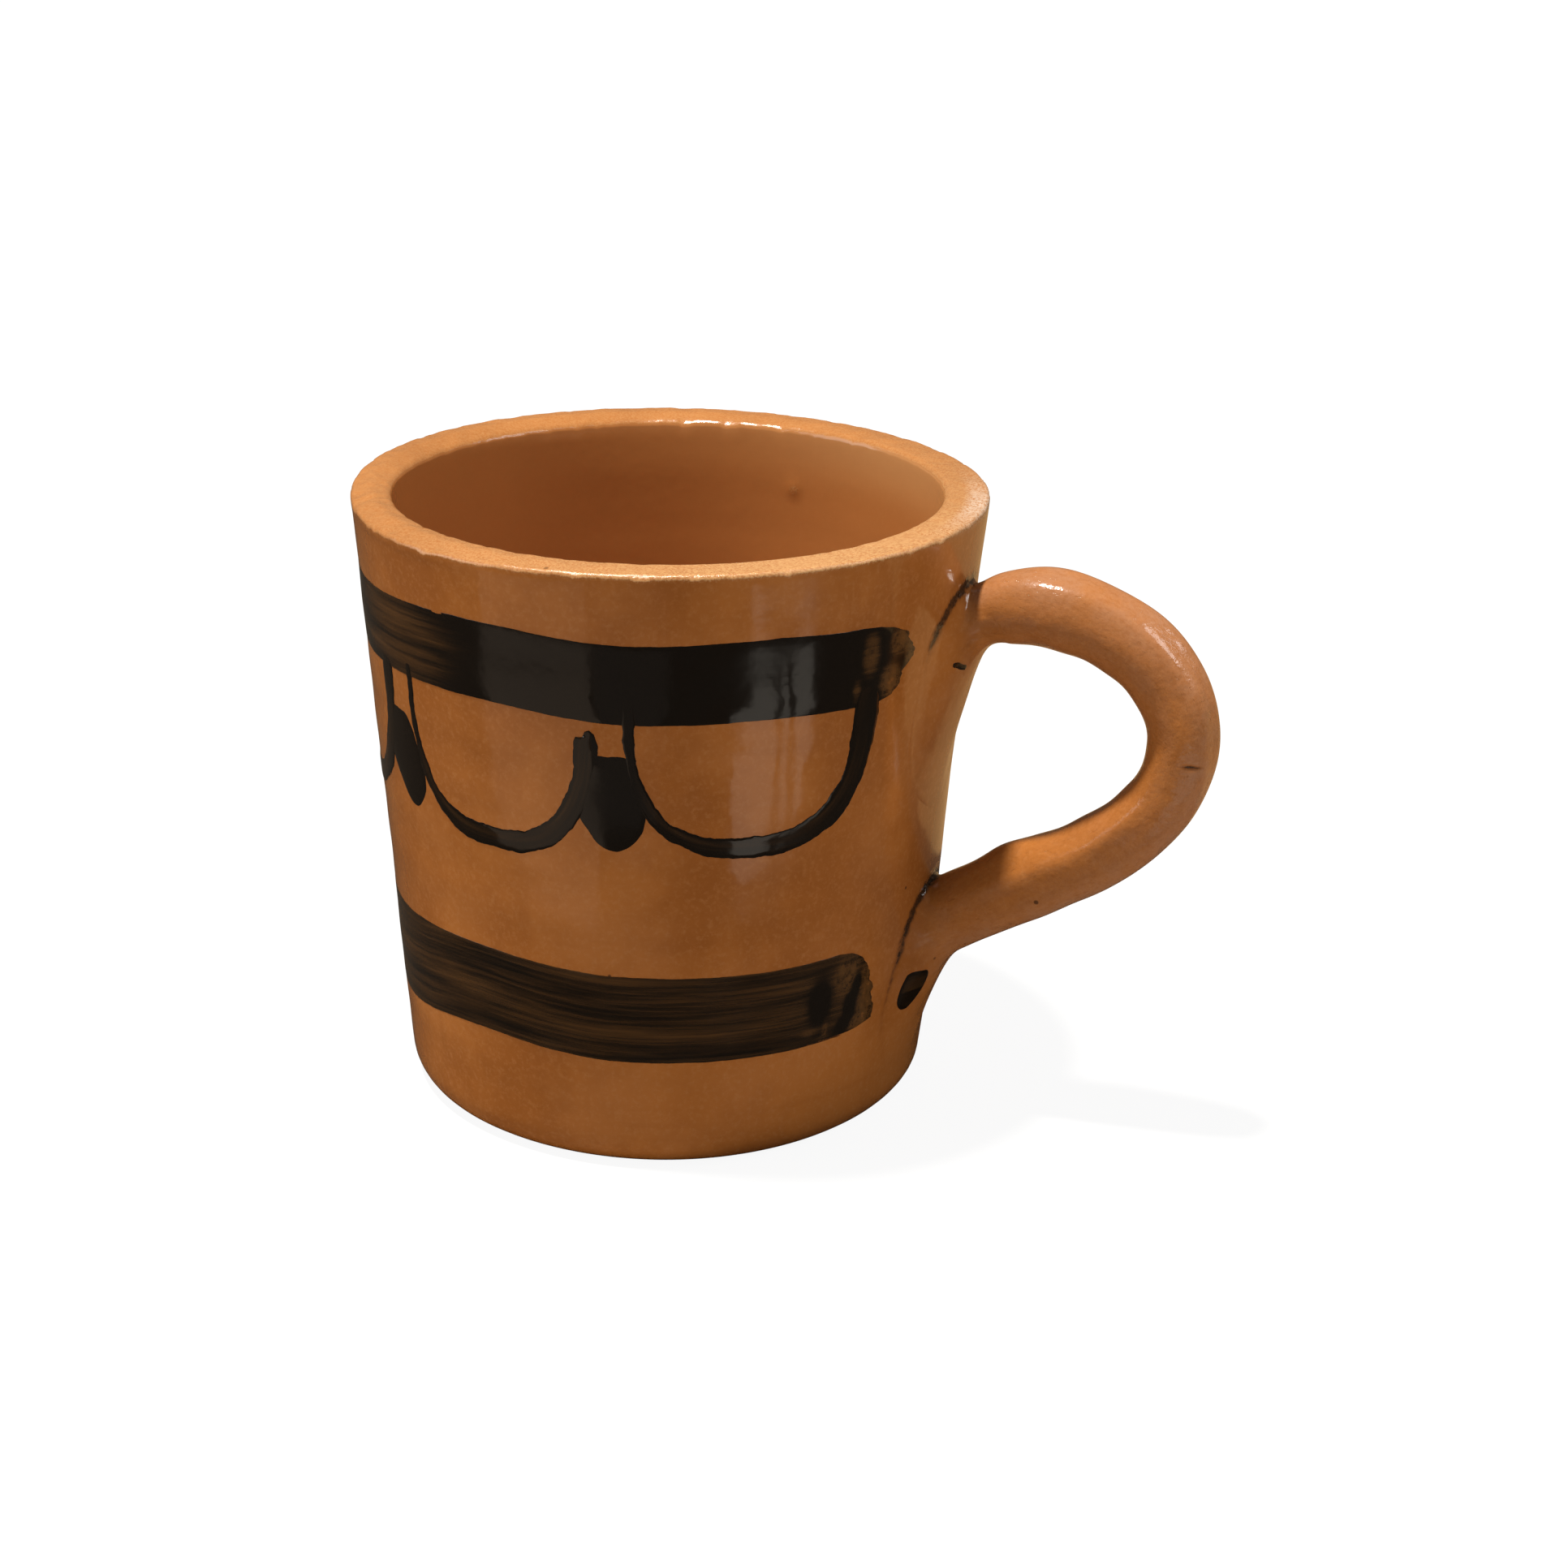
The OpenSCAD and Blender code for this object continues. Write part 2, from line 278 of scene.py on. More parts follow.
class MugStage(bpy.types.PropertyGroup):
    """Camera and light"""

    elevation: an_angle("Elevation", "Camera's height above the horizon", 21.48)
    azimuth: an_angle("Azimuth", "Camera's turn about the mug, where 0 looks along +Y", VIEW_TURN)
    roll: an_angle("Roll", "Camera's tilt to one side", 1.29)
    distance: a_length("Distance", "From the camera to the point it aims at", 0.405)
    aim: FloatVectorProperty(
        name="Aim", description="The point that the camera aims at",
        default=(0.0163, 0.0053, 0.0437), subtype="TRANSLATION")
    lens: FloatProperty(
        name="Lens", description="Focal length in millimetres on a 36 mm square", default=62.89, min=1)
    key: an_amount("Key", "Strength of the high key light", 6.2)
    side: an_amount("Side", "Power of the soft box at the viewer's left, in watts", 2.6)
    fill: an_amount("Fill", "Power of the smaller box at the viewer's right, in watts", 2.2)
    ambient: an_amount("Ambient", "Strength of the even light all round", 0.31)
    cards: an_amount("Cards", "Brightness of the cards that the glaze reflects", 1.0)


def in_mm(context):
    """The sizes in millimetres, and the seed"""
    sizes = context.scene.mug_sizes
    lengths = {name: getattr(sizes, name) / MM for name in MugSizes.__annotations__ if name != "seed"}
    return SimpleNamespace(**lengths, seed=sizes.seed)


def smooth(value, low, high):
    """0 below low, 1 above high and an S-shaped rise between them; low may be above high"""
    share = np.clip((value - low) / (high - low), 0.0, 1.0)
    return share * share * (3 - 2 * share)


def bell(value, middle, width):
    """A bell curve of height 1"""
    return np.exp(-(((value - middle) / width) ** 2))


def turned(turn, middle):
    """The turn from middle, brought between half a turn either way"""
    return (turn - middle + np.pi) % (2 * np.pi) - np.pi


def near_turn(turn, degrees, width):
    """A bell curve of height 1 round a turn given in degrees"""
    return bell(turned(turn, math.radians(degrees)), 0, width)


def lumps(seed, turn, height, waves=14, finest=9.0):
    """Uneven swelling between about -1 and 1: a seeded sum of waves that close round the mug, whose lengths
    up the wall are no shorter than finest"""
    draw = np.random.default_rng(seed)
    around = draw.integers(0, 7, waves)
    upward = draw.uniform(-1, 1, waves) * 2 * np.pi / finest
    phase = draw.uniform(0, 2 * np.pi, waves)
    strength = draw.uniform(0.4, 1.0, waves)
    wave = np.cos(np.multiply.outer(turn, around) + np.multiply.outer(height, upward) + phase)
    return wave @ strength / np.sqrt(np.sum(strength ** 2) * 2)


def ragged(seed, length, longest, finest, waves=12):
    """The wander of an edge along its length: a seeded sum of waves from longest to finest, about -1 to 1"""
    draw = np.random.default_rng(seed)
    wavelength = np.geomspace(longest, finest, waves)
    strength = (wavelength / longest) ** 0.6
    phase = draw.uniform(0, 2 * np.pi, waves)
    wave = np.cos(np.multiply.outer(length, 2 * np.pi / wavelength) + phase)
    return wave @ strength / np.sqrt(np.sum(strength ** 2))


def run_length(line):
    """How far along a line of points each of them lies"""
    steps = np.linalg.norm(np.diff(line, axis=0), axis=1)
    return np.concatenate([[0.0], np.cumsum(steps)])


def spline(points, samples):
    """A smooth curve through points: cubic pieces by chord length, each slope from the points beside it.
    Returns the samples, evenly spread along the curve."""
    points = np.asarray(points, float)
    knots = run_length(points[:, :2])
    slopes = np.gradient(points, knots, axis=0)
    at = np.linspace(0.0, knots[-1], samples)
    i = np.clip(np.searchsorted(knots, at, side="right") - 1, 0, len(knots) - 2)
    span = np.diff(knots)[i][:, None]
    t = (at - knots[i])[:, None] / span
    near = (1 + 2 * t) * (1 - t) ** 2 * points[i] + t * (1 - t) ** 2 * span * slopes[i]
    far = t * t * (3 - 2 * t) * points[i + 1] + t * t * (t - 1) * span * slopes[i + 1]
    return near + far


def closed_outline(points, count):
    """Evenly spread places on a smooth closed curve through points, from the first of them"""
    curve = spline(points[-3:] + points + points[:3], 8 * count)
    far = 1e3 * (np.arange(8 * count) > 4 * count)
    away = np.linalg.norm(curve - points[0], axis=1)
    first, last = (np.argmin(away + side) for side in (far, 1e3 - far))
    return curve[np.linspace(first, last, count, endpoint=False).astype(int)]


def cone_radius(size, height):
    """Radius of the cone that the wall follows"""
    return (size.foot_width + (size.rim_width - size.foot_width) * height / size.height) / 2


def wall_radius(size, turn, height):
    """Radius of the wall's outside: a cone, pulled slightly oval, with the throwing's slow spiral, seeded
    lumps, a hollow pressed under the handle, and runs of glaze under the rim at one side. All of it fades out
    at the rim, which leans in a little and flares at the handle."""
    oval = 0.16 * (np.cos(2 * turn + 0.7) - 1)
    spiral = 0.016 * np.sin(2 * np.pi * height / 8.5 + turn) * (1 + 0.6 * np.cos(turn + 2.0))
    uneven = 0.10 * lumps(size.seed, turn, height, finest=40.0)
    hollow = -0.30 * bell(height, 50, 13) * near_turn(turn, 0, 0.5)
    swell = 0.3 * bell(height, 9, 7) * near_turn(turn, 8, 0.3)
    heel = -0.45 * bell(height, 1, 8) * near_turn(turn, -34, 0.55)
    runs = 0.04 * ragged(size.seed + 11, turn * RIM_RADIUS + 1.7 * height, 14.0, 4.0)
    runs = runs * smooth(height, 74.0, 82.0) * near_turn(turn, -128, 0.4)
    fade = smooth(height, size.height - 1.0, size.height - 14.0)
    lean = -0.14 * smooth(height, size.height - 16.0, size.height - 3.0)
    flare = 0.55 * near_turn(turn, 18, 0.4) * smooth(height, 62.0, 88.0)
    by_hand = (oval + spiral + uneven + hollow + swell + heel + runs) * fade
    return cone_radius(size, height) + lean + flare + by_hand


def on_wall(size, turn, height, lift=0.0):
    """Points that stand off the wall's outside by lift, straight out from the mug's axis"""
    radius = wall_radius(size, turn, height) + lift
    return np.stack([radius * np.cos(turn), radius * np.sin(turn), height + 0.0 * radius], -1)


def grid_quads(rows, columns, wrap_rows=False, wrap_columns=False):
    """Four-cornered faces of a grid whose points run along each row in turn"""
    index = np.arange(rows * columns).reshape(rows, columns)
    if wrap_rows:
        index = np.vstack([index, index[:1]])
    if wrap_columns:
        index = np.hstack([index, index[:, :1]])
    corners = (index[:-1, :-1], index[:-1, 1:], index[1:, 1:], index[1:, :-1])
    return np.stack(corners, -1).reshape(-1, 4)


def to_border(count, gap):
    """Shares from -1 to 1, evenly spread but for one more a small gap inside each border, so that the side
    faces there don't tilt the shading of a stroke's skin"""
    return np.concatenate([[-1.0], np.linspace(gap - 1, 1 - gap, count - 2), [1.0]])


def ring_shares(first, rings):
    """A blot's rings as shares of its outline, from the first to its edge, with one just inside the edge"""
    return np.append(np.linspace(first, 1 - EDGE_GAP, rings - 1), 1.0)[:, None]


def fan(ring, middle, outward=True):
    """Three-cornered faces from a closed ring of point numbers to a middle point"""
    ahead = np.roll(ring, -1)
    pair = (ring, ahead) if outward else (ahead, ring)
    return np.stack([*pair, np.full_like(ring, middle)], -1)


def capped(rings, middles, marks, flipped=False):
    """Closes a row of rings of points with a middle point at each end. Returns its points, the faces of its
    side and its two ends, turned about if flipped, and its marks, where each middle takes one of its ring."""
    rows, columns = rings.shape[:2]
    side = grid_quads(rows, columns, wrap_columns=True)
    ring = np.arange(columns)
    first = fan(ring, rows * columns, outward=flipped)
    last = fan(ring + (rows - 1) * columns, rows * columns + 1, outward=not flipped)
    marks = {key: np.append(value.ravel(), [value[0, 0], value[-1, 0]]) for key, value in marks.items()}
    points = np.vstack([rings.reshape(-1, 3), middles])
    return points, [side[:, ::-1] if flipped else side, first, last], marks


def put_piece(name, points, faces, nodes, materials, marks, zones=None, flat=None):
    """A smooth mesh piece from points in millimetres and arrays of faces. It rides on the mug, stands for CAD
    nodes and carries marks for its materials to read. Zones gives each face its material's number. Flat says
    which faces aren't shaded smooth: they come first, so that the faces beside them keep smooth normals."""
    mesh = bpy.data.meshes.new(name)
    listed = [face for block in faces for face in block.tolist()]
    mesh.from_pydata((points * MM).tolist(), [], listed)
    for mark, values in marks.items():
        layer = mesh.attributes.new(mark, "FLOAT", "POINT")
        layer.data.foreach_set("value", np.ravel(values).astype(np.float32))
    for material in materials:
        mesh.materials.append(material)
    if zones is not None:
        mesh.polygons.foreach_set("material_index", zones.astype(np.int32))
    mesh.shade_smooth()
    if flat is not None:
        mesh.polygons.foreach_set("use_smooth", ~flat)
    mesh.update()
    piece = bpy.data.objects.new(name, mesh)
    bpy.context.scene.collection.objects.link(piece)
    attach(piece, BODY)
    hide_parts(*nodes)
    return piece


class Signal:
    """What a shader node gives out, with which sums can be written"""

    def __init__(self, wiring, socket):
        self.wiring, self.socket = wiring, socket

    def __add__(self, other):
        return self.wiring.sums("ADD", self, other)

    def __sub__(self, other):
        return self.wiring.sums("SUBTRACT", self, other)

    def __mul__(self, other):
        return self.wiring.sums("MULTIPLY", self, other)


class Wiring:
    """Wires the shader nodes of a material or a world, from an empty tree"""

    def __init__(self, owner):
        owner.use_nodes = True
        self.tree = owner.node_tree
        self.tree.nodes.clear()

    def node(self, kind, feeds=None, **settings):
        """A shader node with its settings. Feeds gives its sockets a value or the signal that drives them."""
        made = self.tree.nodes.new("ShaderNode" + kind)
        for name, value in settings.items():
            setattr(made, name, value)
        for socket, value in (feeds or {}).items():
            if isinstance(value, Signal):
                self.tree.links.new(value.socket, made.inputs[socket])
            else:
                made.inputs[socket].default_value = value
        return made

    def signal(self, kind, feeds=None, output=0, **settings):
        """What a new node gives out"""
        return Signal(self, self.node(kind, feeds, **settings).outputs[output])

    @cached_property
    def where(self):
        """Coordinates on the piece"""
        return self.signal("TexCoord", output="Object")

    def rays(self):
        """Two signals: 1 for what the camera itself sees, and 1 for what a reflection sees"""
        paths = self.node("LightPath").outputs
        return Signal(self, paths["Is Camera Ray"]), Signal(self, paths["Is Glossy Ray"])

    def blend(self, share, first, second):
        """A colour between first and second, each a signal or a colour"""
        first, second = (tint if isinstance(tint, Signal) else (*tint, 1.0) for tint in (first, second))
        return self.signal("Mix", {0: share, 6: first, 7: second}, 2, data_type="RGBA")

    def sums(self, how, first, second):
        """One sum of two numbers"""
        return self.signal("Math", {0: first, 1: second}, operation=how)

    def rise(self, value, low, high, start=0.0, end=1.0):
        """Start below low, end above high and a smooth rise between"""
        feeds = {"Value": value, "From Min": low, "From Max": high, "To Min": start, "To Max": end}
        return self.signal("MapRange", feeds, interpolation_type="SMOOTHSTEP")

    def mark(self, name):
        """A mark that the piece carries"""
        return self.signal("Attribute", output="Fac", attribute_name=name)

    def cloud(self, scale, detail=2.0, roughness=0.5, where=None):
        """Cloudy noise between 0 and 1"""
        feeds = {"Vector": where or self.where, "Scale": scale, "Detail": detail, "Roughness": roughness}
        return self.signal("TexNoise", feeds, "Fac")

    def drawn(self, scales, detail, roughness=0.5, where=None):
        """Cloudy noise drawn out by a scale of its own along each axis"""
        pulled = self.signal("Mapping", {"Vector": where or self.where, "Scale": scales})
        return self.cloud(1.0, detail, roughness, pulled)

    def specks(self, scale, share, size):
        """Sparse round specks: 1 inside those cells' middles whose random number is above 1 - share"""
        cells = self.node("TexVoronoi", {"Vector": self.where, "Scale": scale}).outputs
        lot = self.signal("SeparateColor", {0: Signal(self, cells["Color"])})
        chosen = self.sums("GREATER_THAN", lot, 1.0 - share)
        return chosen * self.rise(Signal(self, cells["Distance"]), size, size * 0.5)

    def clay(self, colours, deep, warm):
        """Colour of clay seen through the glaze: cloudy patches, faint runs, turning lines, grain, specks"""
        body = self.blend(self.rise(self.cloud(38.0, 5.0, 0.6), 0.34, 0.66), deep, warm)
        runs = self.drawn((210, 210, 16), 3.0)
        body = self.blend(self.rise(runs, 0.5, 0.8, 0.0, 0.3), body, deep)
        lines = self.drawn((24, 24, 700), 2.0)
        body = self.blend(self.rise(lines, 0.48, 0.78, 0.0, 0.2), body, deep)
        grain = self.rise(self.cloud(1300.0, 4.0, 0.7), 0.45, 0.75, 0.0, 0.22)
        body = self.blend(grain, body, colours.clay_grain)
        return self.blend(self.specks(300.0, 0.07, 0.10) * 0.75, body, colours.speck)

    def coat(self, body, gloss, height, distance, strength):
        """The material's surface, from its colour, its roughness and the height of its fine relief"""
        relief = self.signal("Bump", {"Height": height, "Distance": distance, "Strength": strength})
        feeds = {"Base Color": body, "Roughness": gloss, "Normal": relief}
        self.node("OutputMaterial", {"Surface": self.signal("BsdfPrincipled", feeds)})


def glazed_clay(w, colours):
    """The thrown body's clay under a clear glaze, thin and sandy on the rim and worn off by the handle. The
    inside is made paler, and paler again below the rim at the back right, as painted light
    """
    body = w.clay(colours, colours.clay_deep, colours.clay_warm)
    # Painted light: the inside takes a paler colour than the outside
    body = w.blend(w.mark("inside") * 0.8, body, colours.inside)
    # Painted light: the inner wall below the rim at the back right is made paler with the rim's colour
    body = w.blend(w.mark("painted_inner_light") * 0.5, body, colours.rim)
    sand = w.cloud(3200.0, 3.0, 0.7)
    edge = w.mark("rim") + w.rise(sand, 0.3, 0.7, -0.12, 0.12)
    rim = w.rise(edge, 0.32, 0.68) * w.mark("sandy")
    sandy = w.blend(w.rise(sand, 0.36, 0.60, 0.2, 1.0), colours.coil, colours.rim)
    body = w.blend(rim, body, sandy)
    body = w.blend(w.specks(260.0, 0.10, 0.11) * rim * 0.8, body, colours.speck)
    worn = w.mark("bare") * w.rise(sand, 0.35, 0.6)
    body = w.blend(worn * 0.85, body, colours.worn)
    gloss = w.rise(w.cloud(90.0, 3.0), 0.3, 0.7, 0.07, 0.16) + rim * 0.16 + worn * 0.4
    peel = w.cloud(520.0, 1.0) * 0.3
    w.coat(body, gloss, peel + sand * rim * 1.2, 0.00012, 0.6)


def glazed_coil(w, colours):
    """The handle's paler clay under a thinner glaze, mottled along the coil, with a painted sheen on its
    outer side, and glaze pooled dark in creases with painted shade round it
    """
    deep, warm = colours.clay_deep, colours.clay_warm
    body = w.clay(colours, warm, colours.coil)
    lie = w.signal("CombineXYZ", {"X": w.mark("along"), "Y": w.mark("outer"), "Z": w.mark("aside")})
    # Painted sheen: the outer side of the coil is made paler, in patches, as its broad highlight
    patchy = w.rise(w.cloud(170.0, 4.0, 0.65), 0.3, 0.7, 0.35, 1.0)
    painted_sheen = w.rise(w.mark("outer"), 0.0002, 0.0046, 0.0, 0.5) * patchy
    body = w.blend(painted_sheen, body, colours.painted_sheen)
    dust = w.cloud(1500.0, 4.0, 0.7)
    body = w.blend(w.rise(dust, 0.46, 0.66, 0.0, 0.3), body, deep)
    rolled = w.drawn((420, 1000, 1000), 5.0, 0.66, lie)
    body = w.blend(w.rise(rolled, 0.46, 0.72, 0.0, 0.3), body, deep)
    scratches = w.drawn((500, 1700, 1700), 3.0, 0.7, lie)
    body = w.blend(w.rise(scratches, 0.60, 0.70, 0.0, 0.3), body, deep)
    body = w.blend(w.specks(330.0, 0.06, 0.16) * 0.8, body, colours.speck)
    wall = w.mark("wall")
    body = w.blend(wall, body, w.clay(colours, deep, warm))
    # The crease: a narrow core of pooled glaze, with painted shade in the deep clay colour round it
    pool = w.mark("pool") * w.rise(w.cloud(900.0, 2.0), 0.3, 0.7, 0.7, 1.1)
    body = w.blend(w.rise(pool, 0.02, 0.4, 0.0, 0.8), body, deep)
    body = w.blend(w.rise(pool, 0.25, 0.75), body, colours.pool)
    gloss = w.rise(w.cloud(300.0, 4.0, 0.6), 0.35, 0.65, 0.10, 0.22) - pool * 0.06
    peel = w.cloud(520.0, 3.0, 0.55) * 1.8
    dents = w.rise(scratches, 0.63, 0.73, 0.0, -0.5)
    rough = (peel + (rolled * 0.6 + dents)) * w.rise(wall, 0.9, 0.2, 0.1, 1.0)
    bubbles = w.cloud(1500.0, 1.0) * (pool * 2.5)
    w.coat(body, gloss, rough + bubbles, 0.0002, 0.45)


def brushed_slip(w, colours):
    """Dark slip under the glaze: streaked along the stroke, a brown, broken film where its cover is thin"""
    clay = w.clay(colours, colours.clay_deep, colours.clay_warm)
    lie = w.signal("CombineXYZ", {"X": w.mark("along"), "Y": w.mark("across")})
    streaks = w.drawn((60, 1900, 1), 4.0, 0.6, lie)
    broad = w.drawn((22, 330, 1), 3.0, 0.55, lie)
    brushing = streaks * 0.6 + broad * 0.8
    cover = w.mark("cover")
    grain = w.rise(cover, 0.66, 0.46) * w.rise(cover, 0.08, 0.28, 0.2, 1.0)
    broken = w.rise(w.cloud(800.0, 6.0, 0.75), 0.28, 0.72, -0.14, 0.40) * grain
    combed = w.rise(cover, 0.5, 0.66, 0.3, 1.0) * w.rise(cover, 0.95, 0.78, 0.3, 1.0)
    layer = cover + (broken + combed * (brushing - 0.7))
    film = w.blend(w.rise(layer, -0.1, 0.35), clay, colours.thin_slip)
    paint = w.blend(w.rise(layer, 0.35, 0.95), film, colours.slip)
    gloss = w.rise(w.cloud(110.0, 3.0), 0.3, 0.7, 0.07, 0.17)
    w.coat(paint, gloss, w.cloud(520.0, 1.0) + streaks * 0.1, 0.0001, 0.22)


def bare_clay(w, colours):
    """Unglazed clay under the foot, with the curved marks of the wire that cut it from the wheel"""
    swing = w.signal("Mapping", {"Vector": w.where, "Location": (0.09, 0.03, 0.0)})
    feeds = {"Vector": swing, "Scale": 55.0, "Distortion": 1.2, "Detail": 2.0}
    wire_marks = w.signal("TexWave", feeds, "Fac", wave_type="RINGS", rings_direction="Z")
    grain = w.cloud(1300.0, 4.0)
    body = w.blend(w.rise(grain, 0.35, 0.7), colours.clay_warm, colours.bare)
    body = w.blend(w.specks(380.0, 0.2, 0.14), body, colours.speck)
    w.coat(body, 0.85, wire_marks + grain * 0.7, 0.0003, 0.6)


def material_of(maker):
    """The material that a maker function wires, made once and named after it"""
    found = bpy.data.materials.get(maker.__name__)
    if not found:
        found = bpy.data.materials.new(maker.__name__)
        maker(Wiring(found), bpy.context.scene.mug_colours)
    return found


def rounded_corner(before, corner, after, radius, steps=10):
    """Points of the arc of that radius that rounds a corner between two straight sides"""
    before, corner, after = (np.asarray(p, float) for p in (before, corner, after))
    back = (before - corner) / np.linalg.norm(before - corner)
    ahead = (after - corner) / np.linalg.norm(after - corner)
    half = math.acos(float(back @ ahead)) / 2
    middle = (back + ahead) / np.linalg.norm(back + ahead)
    centre = corner + middle * radius / math.sin(half)
    start = corner + back * radius / math.tan(half) - centre
    side = -np.sign(back[0] * ahead[1] - back[1] * ahead[0])
    sweep = side * np.linspace(0, math.pi - 2 * half, steps)
    angle = math.atan2(start[1], start[0]) + sweep
    return centre + radius * np.stack([np.cos(angle), np.sin(angle)], -1)


def stretch(first, last, spacing):
    """Points from first up to last, without last, about that far apart"""
    first, last = np.asarray(first, float), np.asarray(last, float)
    count = max(1, round(np.linalg.norm(last - first) / spacing))
    return first + np.linspace(0, 1, count, endpoint=False)[:, None] * (last - first)


def body_profile(size):
    """Half section of the body from the middle of its underside, up the wall, over the rim and down to the
    middle of its floor, as points (radius, height), and the number of the first point past the underside"""
    foot, rim, top = size.foot_width / 2, size.rim_width / 2, size.height
    mouth = rim - size.wall
    well = foot + (rim - foot) * size.floor / top - size.wall
    corners = [(0, 0), (foot, 0), (rim, top), (mouth, top), (well, size.floor), (0, size.floor)]
    rounds = [size.foot_round, size.lip_round, size.mouth_round, size.well_round]
    arcs = [rounded_corner(*corners[i:i + 3], radius) for i, radius in enumerate(rounds)]
    under = stretch((2.0, 0), arcs[0][0], 2.0)
    hip = arcs[2][-1] + 0.25 * (arcs[3][0] - arcs[2][-1])
    parts = [
        under, arcs[0][:-1],
        stretch(arcs[0][-1], arcs[1][0], 0.8), arcs[1][:-1],
        stretch(arcs[1][-1], arcs[2][0], 0.3), arcs[2][:-1],
        stretch(arcs[2][-1], hip, 0.9), stretch(hip, arcs[3][0], 2.4), arcs[3][:-1],
        stretch(arcs[3][-1], (2.0, size.floor), 2.5),
    ]
    return np.vstack(parts), len(under)


def rim_wear(size, turn, radius):
    """How far the rim's top is brought down: worn round at one side, slumped at another, with beads, a
    crease, chips, a slow dip and grit"""
    rim = size.rim_width / 2
    mouth = rim - size.wall
    around = turn * rim
    worn = 0.9 * near_turn(turn, -128, 0.6) * smooth(radius, rim - size.wall * 0.7, rim - 0.4)
    slump = 0.8 * near_turn(turn, 150, 1.5) * smooth(radius, rim - 2.5, mouth)
    beads = 0.3 * smooth(ragged(size.seed + 9, around, 9.0, 2.2), 0.2, 1.2) * smooth(radius, rim - 4.0, mouth)
    beads = beads * near_turn(turn, 108, 0.9)
    crease = 0.22 * bell(turned(turn, math.radians(-146)) * rim + 0.4 * (rim - radius), 0, 0.5)
    chips = smooth(ragged(size.seed + 8, around, 11.0, 1.7), 0.3, 1.3) * smooth(radius, rim - 1.0, rim - 0.1)
    dip = 0.03 * (1 - np.cos(turn + 1.0))
    dip = dip + 0.02 * (1 + ragged(size.seed + 2, turn * RIM_RADIUS, 94.25, 9.0))
    grit = 0.02 * sum(
        ragged(size.seed + 4 + k, around + slant * radius, 9.0, 1.7)
        for k, slant in enumerate((0.3, -0.5, 1.4, -1.9)))
    grit = grit * (1 + 1.6 * near_turn(turn, -120, 0.5))
    return worn + slump + beads + crease + 0.3 * chips + np.clip(dip + grit, 0.0, None)


def thrown_body(size):
    """Points of the body on a grid of profile by turn, its marks, and the row where the glaze starts.
    The outside follows wall_radius, the rim is thicker toward the handle and worn by rim_wear, and the inside
    has faint throwing rings and one blister, which is painted pale as a highlight."""
    profile, glaze_row = body_profile(size)
    turns = np.linspace(0, 2 * np.pi, BODY_TURNS, endpoint=False)
    radius, level = (np.repeat(profile[:, k:k + 1], len(turns), 1) for k in (0, 1))
    turn = np.repeat(turns[None], len(profile), 0)
    top, rim, wall = size.height, size.rim_width / 2, size.wall
    row = np.arange(len(profile))[:, None]
    peak = int(np.argmax(profile[:, 1]))
    outside = (row <= peak) & (row >= glaze_row)
    swell = (wall_radius(size, turn, level) - cone_radius(size, level)) * smooth(level, -1.0, 2.5)
    radius = radius + np.where(outside, swell, 0.0)
    inside = (row > peak) & (level > size.floor + 0.5)
    rings = 0.006 * np.sin(2 * np.pi * level / 6.5 + turn)
    rings = (rings + 0.05 * lumps(size.seed + 1, turn, level, finest=40.0)) * smooth(level, top, top - 8)
    thick = 0.25 + 0.5 * near_turn(turn, -20, 0.7)
    thick = thick * smooth(level, top - 18, top - 5) * smooth(radius, rim - 1.2, rim - wall)
    blister = bell(level, 79.2, 1.1) * bell(turned(turn, math.radians(80.8)) * (rim - wall), 0, 1.2)
    radius = radius + np.where(inside, rings - 0.2 * blister - thick, 0.0)
    height = level - smooth(level, top - 3.2, top - 0.6) * rim_wear(size, turn, radius)
    points = np.stack([radius * np.cos(turn), radius * np.sin(turn), height], -1)
    mouth = rim - wall - np.where(row > peak, thick, 0.0)
    rim_and_blister_highlight = smooth(level, top - 1.0, top - 0.2) * smooth(radius, mouth - 0.4, mouth + 0.3)
    # Painted highlight: the blister inside is made pale with the rim's sandy colour, where it catches the
    # light
    rim_and_blister_highlight = np.maximum(rim_and_blister_highlight, np.where(inside, 0.7 * blister, 0.0))
    inside_mark = np.where(row > peak, 1.0 - rim_and_blister_highlight, 0.0)
    marks = {
        "rim": rim_and_blister_highlight,
        "sandy": 0.32 + 0.68 * near_turn(turn, -40, 1.1),
        "inside": inside_mark,
        # Painted light on the inner wall below the rim, at the back right
        "painted_inner_light": inside_mark * smooth(level, top - 11.0, top - 1.0) * near_turn(turn, 45, 0.9),
        "bare": rim_and_blister_highlight * near_turn(turn, 8, 0.26) * smooth(radius, rim - 3.6, rim - 1.6),
    }
    return points, marks, glaze_row


def coil_line(samples=460):
    """The coil's middle line with its frame: points, the outward side in the handle's plane, and radii.
    A slow wave takes it a little out of plane."""
    route = spline(COIL_ROUTE, samples)
    sideways = 0.25 * np.sin(np.linspace(0, 2.2 * np.pi, samples))
    points = np.stack([route[:, 0], sideways, route[:, 1]], -1)
    tangent = np.gradient(points, axis=0)
    outward = np.stack([-tangent[:, 2], np.zeros(samples), tangent[:, 0]], -1)
    outward /= np.linalg.norm(outward, axis=1)[:, None]
    return points, outward, route[:, 2]


